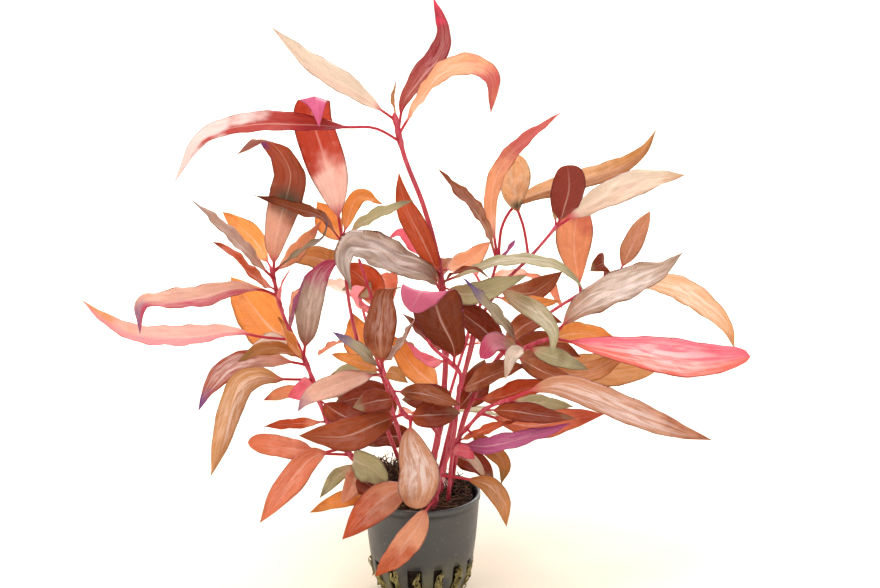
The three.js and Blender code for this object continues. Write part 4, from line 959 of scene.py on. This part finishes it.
class PLANT_OT_fibres(bpy.types.Operator):
    """Adds loose fibres and dead roots on the wool, each a thin strand along a bent route"""
    bl_idname = "plant.add_fibres"
    bl_label = "Add the fibres"

    def execute(self, context):
        settings = context.scene.plant_pot
        rng = np.random.default_rng(SEED + 1)
        finishes = (("brown_fibres", "#54301e", "#1e100a"), ("pale_fibres", "#94704c", "#4c3220"))
        for part, (name, first, second) in enumerate(finishes):
            count = settings.fibres * (2 - part) // 2
            angle = rng.uniform(0, 2 * np.pi, count)
            away = 20 * np.sqrt(rng.uniform(0, 1, count))
            start = np.column_stack([away * np.cos(angle), away * np.sin(angle),
                np.full(count, WOOL_TOP - 0.5)])
            # A good part of it has gathered at the left, behind the front leaves
            gathered = rng.uniform(0, 1, count) < 0.45
            start[gathered, :2] = rng.normal(0, 3.5, (gathered.sum(), 2)) + [-12.5, 3]
            heap = 2.5
            for high, middle, side in HEAPS:
                heap = heap + high * fall((start[:, 0] - middle[0]) / side[0]) * fall(
                    (start[:, 1] - middle[1]) / side[1])
            lean = rng.normal(0, 1, (count, 3, 2)) * np.where(gathered, 3, 4.5)[:, None, None]
            rise = np.sort(rng.uniform(0, 1, (count, 3)), axis=1) * heap[:, None]
            routes = []
            for foot, steps, heights in zip(start, lean, rise):
                path = [foot]
                for step, height in zip(steps, heights):
                    spot = path[-1] + [*step, 0]
                    # It stays within the rim
                    spot[:2] *= min(1, WOOL_REACH / max(np.hypot(spot[0], spot[1]), 1e-6))
                    spot[2] = WOOL_TOP - 0.3 + height
                    path.append(spot)
                routes.append(path)
            points, faces = strands(routes, rng.uniform(0.18, 0.5, count))
            dead = matter_material(f"dead_{name}", first, second, 0.004, 0.8)
            add_piece(name, points, faces, dead)
        return {"FINISHED"}


class PLANT_OT_roots(bpy.types.Operator):
    """Adds the roots that show in the slots and the rootlets at the front stem's joint"""
    bl_idname = "plant.add_roots"
    bl_label = "Add the roots"

    def execute(self, context):
        settings = context.scene.plant_pot
        rng = np.random.default_rng(SEED + 2)
        turn = 2 * np.pi / SLOT_COUNT
        routes = []
        for _ in range(settings.roots):
            slot = rng.integers(SLOT_COUNT)
            middle = (slot + SLOT_TURN) * turn - np.pi / 2
            heights = np.sort(rng.uniform(SLOT_FOOT + 0.3, SLOT_HEAD - 1, 4))[::rng.choice([-1, 1])]
            wander = rng.uniform(-1.6, 1.6, 4)
            wall = wall_at(heights)
            out = wall + rng.uniform(-1.6, 0.5, 4) + rng.choice([0, 1], p=[0.8, 0.2])
            angle = middle + wander / wall
            routes.append(np.column_stack([out * np.cos(angle), out * np.sin(angle), heights]).tolist())
        points, faces = strands(routes, rng.uniform(0.25, 0.7, len(routes)))
        root = matter_material("old_root_skin", "#6c5e2c", "#b0a468", 0.003, 0.7)
        add_piece("slot_roots", points, faces, root)
        joint, _ = stem_at(*ROOTLET_JOINT)
        hairs = []
        for _ in range(ROOTLETS):
            way = np.array([rng.normal(0, 1), rng.uniform(-1.5, -0.2), rng.uniform(-1.2, 0.4)])
            way = way / np.linalg.norm(way)
            reach = rng.uniform(2.5, 5)
            hairs.append([joint, joint + way * reach * 0.5, joint + way * reach + [0, 0, -0.8]])
        points, faces = strands(hairs, np.full(ROOTLETS, 0.22))
        pale = matter_material("young_root_skin", "#e8b8b8", "#f2dcd4", 0.003, 0.5)
        add_piece("joint_rootlets", points, faces, pale)
        return {"FINISHED"}


class PLANT_OT_stems(bpy.types.Operator):
    """Adds the stems: round tubes along their routes that swell where leaves join them"""
    bl_idname = "plant.add_stems"
    bl_label = "Add the stems"

    def execute(self, context):
        settings = context.scene.plant_stems
        skin = stem_material(settings)
        for name in STEMS:
            line, radius = stem_line(name)
            joints = [row["height"] for row in LEAVES if row["stem"] == name]
            swell = np.max([fall((line[:, 2] - joint) / 1.8) for joint in joints], axis=0)
            size = radius * settings.girth * (1 + settings.swelling * swell)
            size[-1] *= 0.4
            along = unit(np.gradient(line, axis=0))
            across = unit(np.cross(along, [0.0, 1.0, 0.0]))
            shoot = tube(line, across, np.cross(across, along), size, STEM_SIDES)
            add_piece(f"shoot_{name}", shoot, tube_faces(len(line), STEM_SIDES), skin,
                (f"stem_{name}",))
        return {"FINISHED"}


class PLANT_OT_leaves(bpy.types.Operator):
    """Adds every leaf: a thin closed blade with a raised midrib along its own route"""
    bl_idname = "plant.add_leaves"
    bl_label = "Add the leaves"

    def execute(self, context):
        settings = context.scene.plant_leaves
        colours = context.scene.plant_leaf_colours
        cuticles = {finish: leaf_material(finish, settings, getattr(colours, finish))
            for finish in FINISHES}
        for index, row in enumerate(LEAVES):
            points, faces, uv, values, face_values = leaf_surface(row, settings, index)
            finish = row["finish"]
            replaced = (row["name"],) if row["own_node"] else ()
            add_piece(f"{row['name']}_blade", points, faces, cuticles[finish],
                replaced, uv, values, face_values)
        return {"FINISHED"}


class PLANT_OT_stage(bpy.types.Operator):
    """Adds the floor, the studio light and the camera at the photograph's place"""
    bl_idname = "plant.add_stage"
    bl_label = "Add the stage"

    def execute(self, context):
        settings = context.scene.plant_stage
        scene = context.scene
        mesh = bpy.data.meshes.new("floor")
        corners = [(FLOOR_REACH * x, FLOOR_REACH * y, 0) for x, y in ((-1, -1), (1, -1), (1, 1), (-1, 1))]
        mesh.from_pydata(corners, [], [(0, 1, 2, 3)])
        floor = bpy.data.objects.new("floor", mesh)
        scene.collection.objects.link(floor)
        paper, add = new_tree("matt_paper_floor")
        # Lit from within like a light table, less close to the pot, so that its shadow shows
        place = add("TexCoord", [])["Object"]
        away = add("VectorMath", [place], "LENGTH")[1]
        glow = add("MapRange", [away, 0.04, 0.5, 0.0, settings.floor_glow * 2], "SMOOTHSTEP")[0]
        surface = add("BsdfPrincipled", {"Base Color": opaque(settings.floor), "Roughness": 0.9,
            "Specular IOR Level": 0.2, "Emission Color": (1, 0.99, 0.97, 1), "Emission Strength": glow})[0]
        add("OutputMaterial", [surface])
        mesh.materials.append(paper)

        sky = bpy.data.worlds.new("white_surroundings")
        sky.use_nodes = True
        colour, strength = sky.node_tree.nodes["Background"].inputs[:2]
        colour.default_value = (1, 0.992, 0.984, 1)
        strength.default_value = settings.sky
        scene.world = sky
        # Each lamp: place and aim in metres, width, power and tint
        warm = (1, 0.97, 0.93)
        lamps = (
            ("key", (-0.55, -0.5, 1.1), (0, 0, 0.13), 0.5, 9, warm),
            ("back", (0.35, 1.1, 0.8), (0, 0, 0.13), 0.8, 14, warm),
            ("top", (0.1, 0.15, 1.4), (0, 0, 0.1), 0.9, 10, (1, 1, 1)),
        )
        for name, spot, target, size, power, tint in lamps:
            lamp = bpy.data.lights.new(name, "AREA")
            lamp.shape = "DISK"
            lamp.size = size
            lamp.energy = power * settings.light
            lamp.color = tint
            holder = bpy.data.objects.new(name, lamp)
            aim = np.array(spot) - np.array(target)
            away = np.linalg.norm(aim)
            holder.location = spot
            holder.rotation_euler = (math.acos(aim[2] / away), 0, math.atan2(aim[0], -aim[1]))
            scene.collection.objects.link(holder)

        lens = bpy.data.cameras.new("camera")
        lens.sensor_width = SENSOR_WIDTH
        lens.lens = FOCAL_LENGTH * SENSOR_WIDTH / PICTURE_WIDTH
        lens.clip_end = 50
        camera = bpy.data.objects.new("camera", lens)
        camera.location = CAMERA_PLACE
        camera.rotation_euler = (math.radians(90 - CAMERA_PITCH), 0, 0)
        scene.collection.objects.link(camera)
        scene.camera = camera
        scene.view_settings.view_transform = "Standard"
        return {"FINISHED"}


GROUPS = {
    "plant_leaves": LeafSettings,
    "plant_leaf_colours": LeafColours,
    "plant_stems": StemSettings,
    "plant_pot": PotSettings,
    "plant_stage": StageSettings,
}
OPERATORS = (PLANT_OT_pot, PLANT_OT_wool, PLANT_OT_fibres, PLANT_OT_roots, PLANT_OT_stems,
    PLANT_OT_leaves, PLANT_OT_stage)


class PLANT_PT_panel(bpy.types.Panel):
    """Lists the settings and the operators of the plant"""
    bl_idname = "PLANT_PT_panel"
    bl_label = "Potted red stem plant"
    bl_space_type = "VIEW_3D"
    bl_region_type = "UI"
    bl_category = "Plant"

    def draw(self, context):
        for name, group in GROUPS.items():
            box = self.layout.box()
            box.label(text=group.__doc__)
            for prop in group.__annotations__:
                box.prop(getattr(context.scene, name), prop)
        for operator in OPERATORS:
            self.layout.operator(operator.bl_idname)


def register():
    for name, group in GROUPS.items():
        bpy.utils.register_class(group)
        setattr(bpy.types.Scene, name, bpy.props.PointerProperty(type=group))
    for entry in (*OPERATORS, PLANT_PT_panel):
        bpy.utils.register_class(entry)


def unregister():
    for entry in (PLANT_PT_panel, *reversed(OPERATORS)):
        bpy.utils.unregister_class(entry)
    for name, group in reversed(GROUPS.items()):
        delattr(bpy.types.Scene, name)
        bpy.utils.unregister_class(group)


def main():
    register()
    bpy.ops.plant.add_stage()
    bpy.ops.plant.add_pot()
    bpy.ops.plant.add_wool()
    bpy.ops.plant.add_fibres()
    bpy.ops.plant.add_roots()
    bpy.ops.plant.add_stems()
    bpy.ops.plant.add_leaves()


if __name__ == "__main__":
    main()
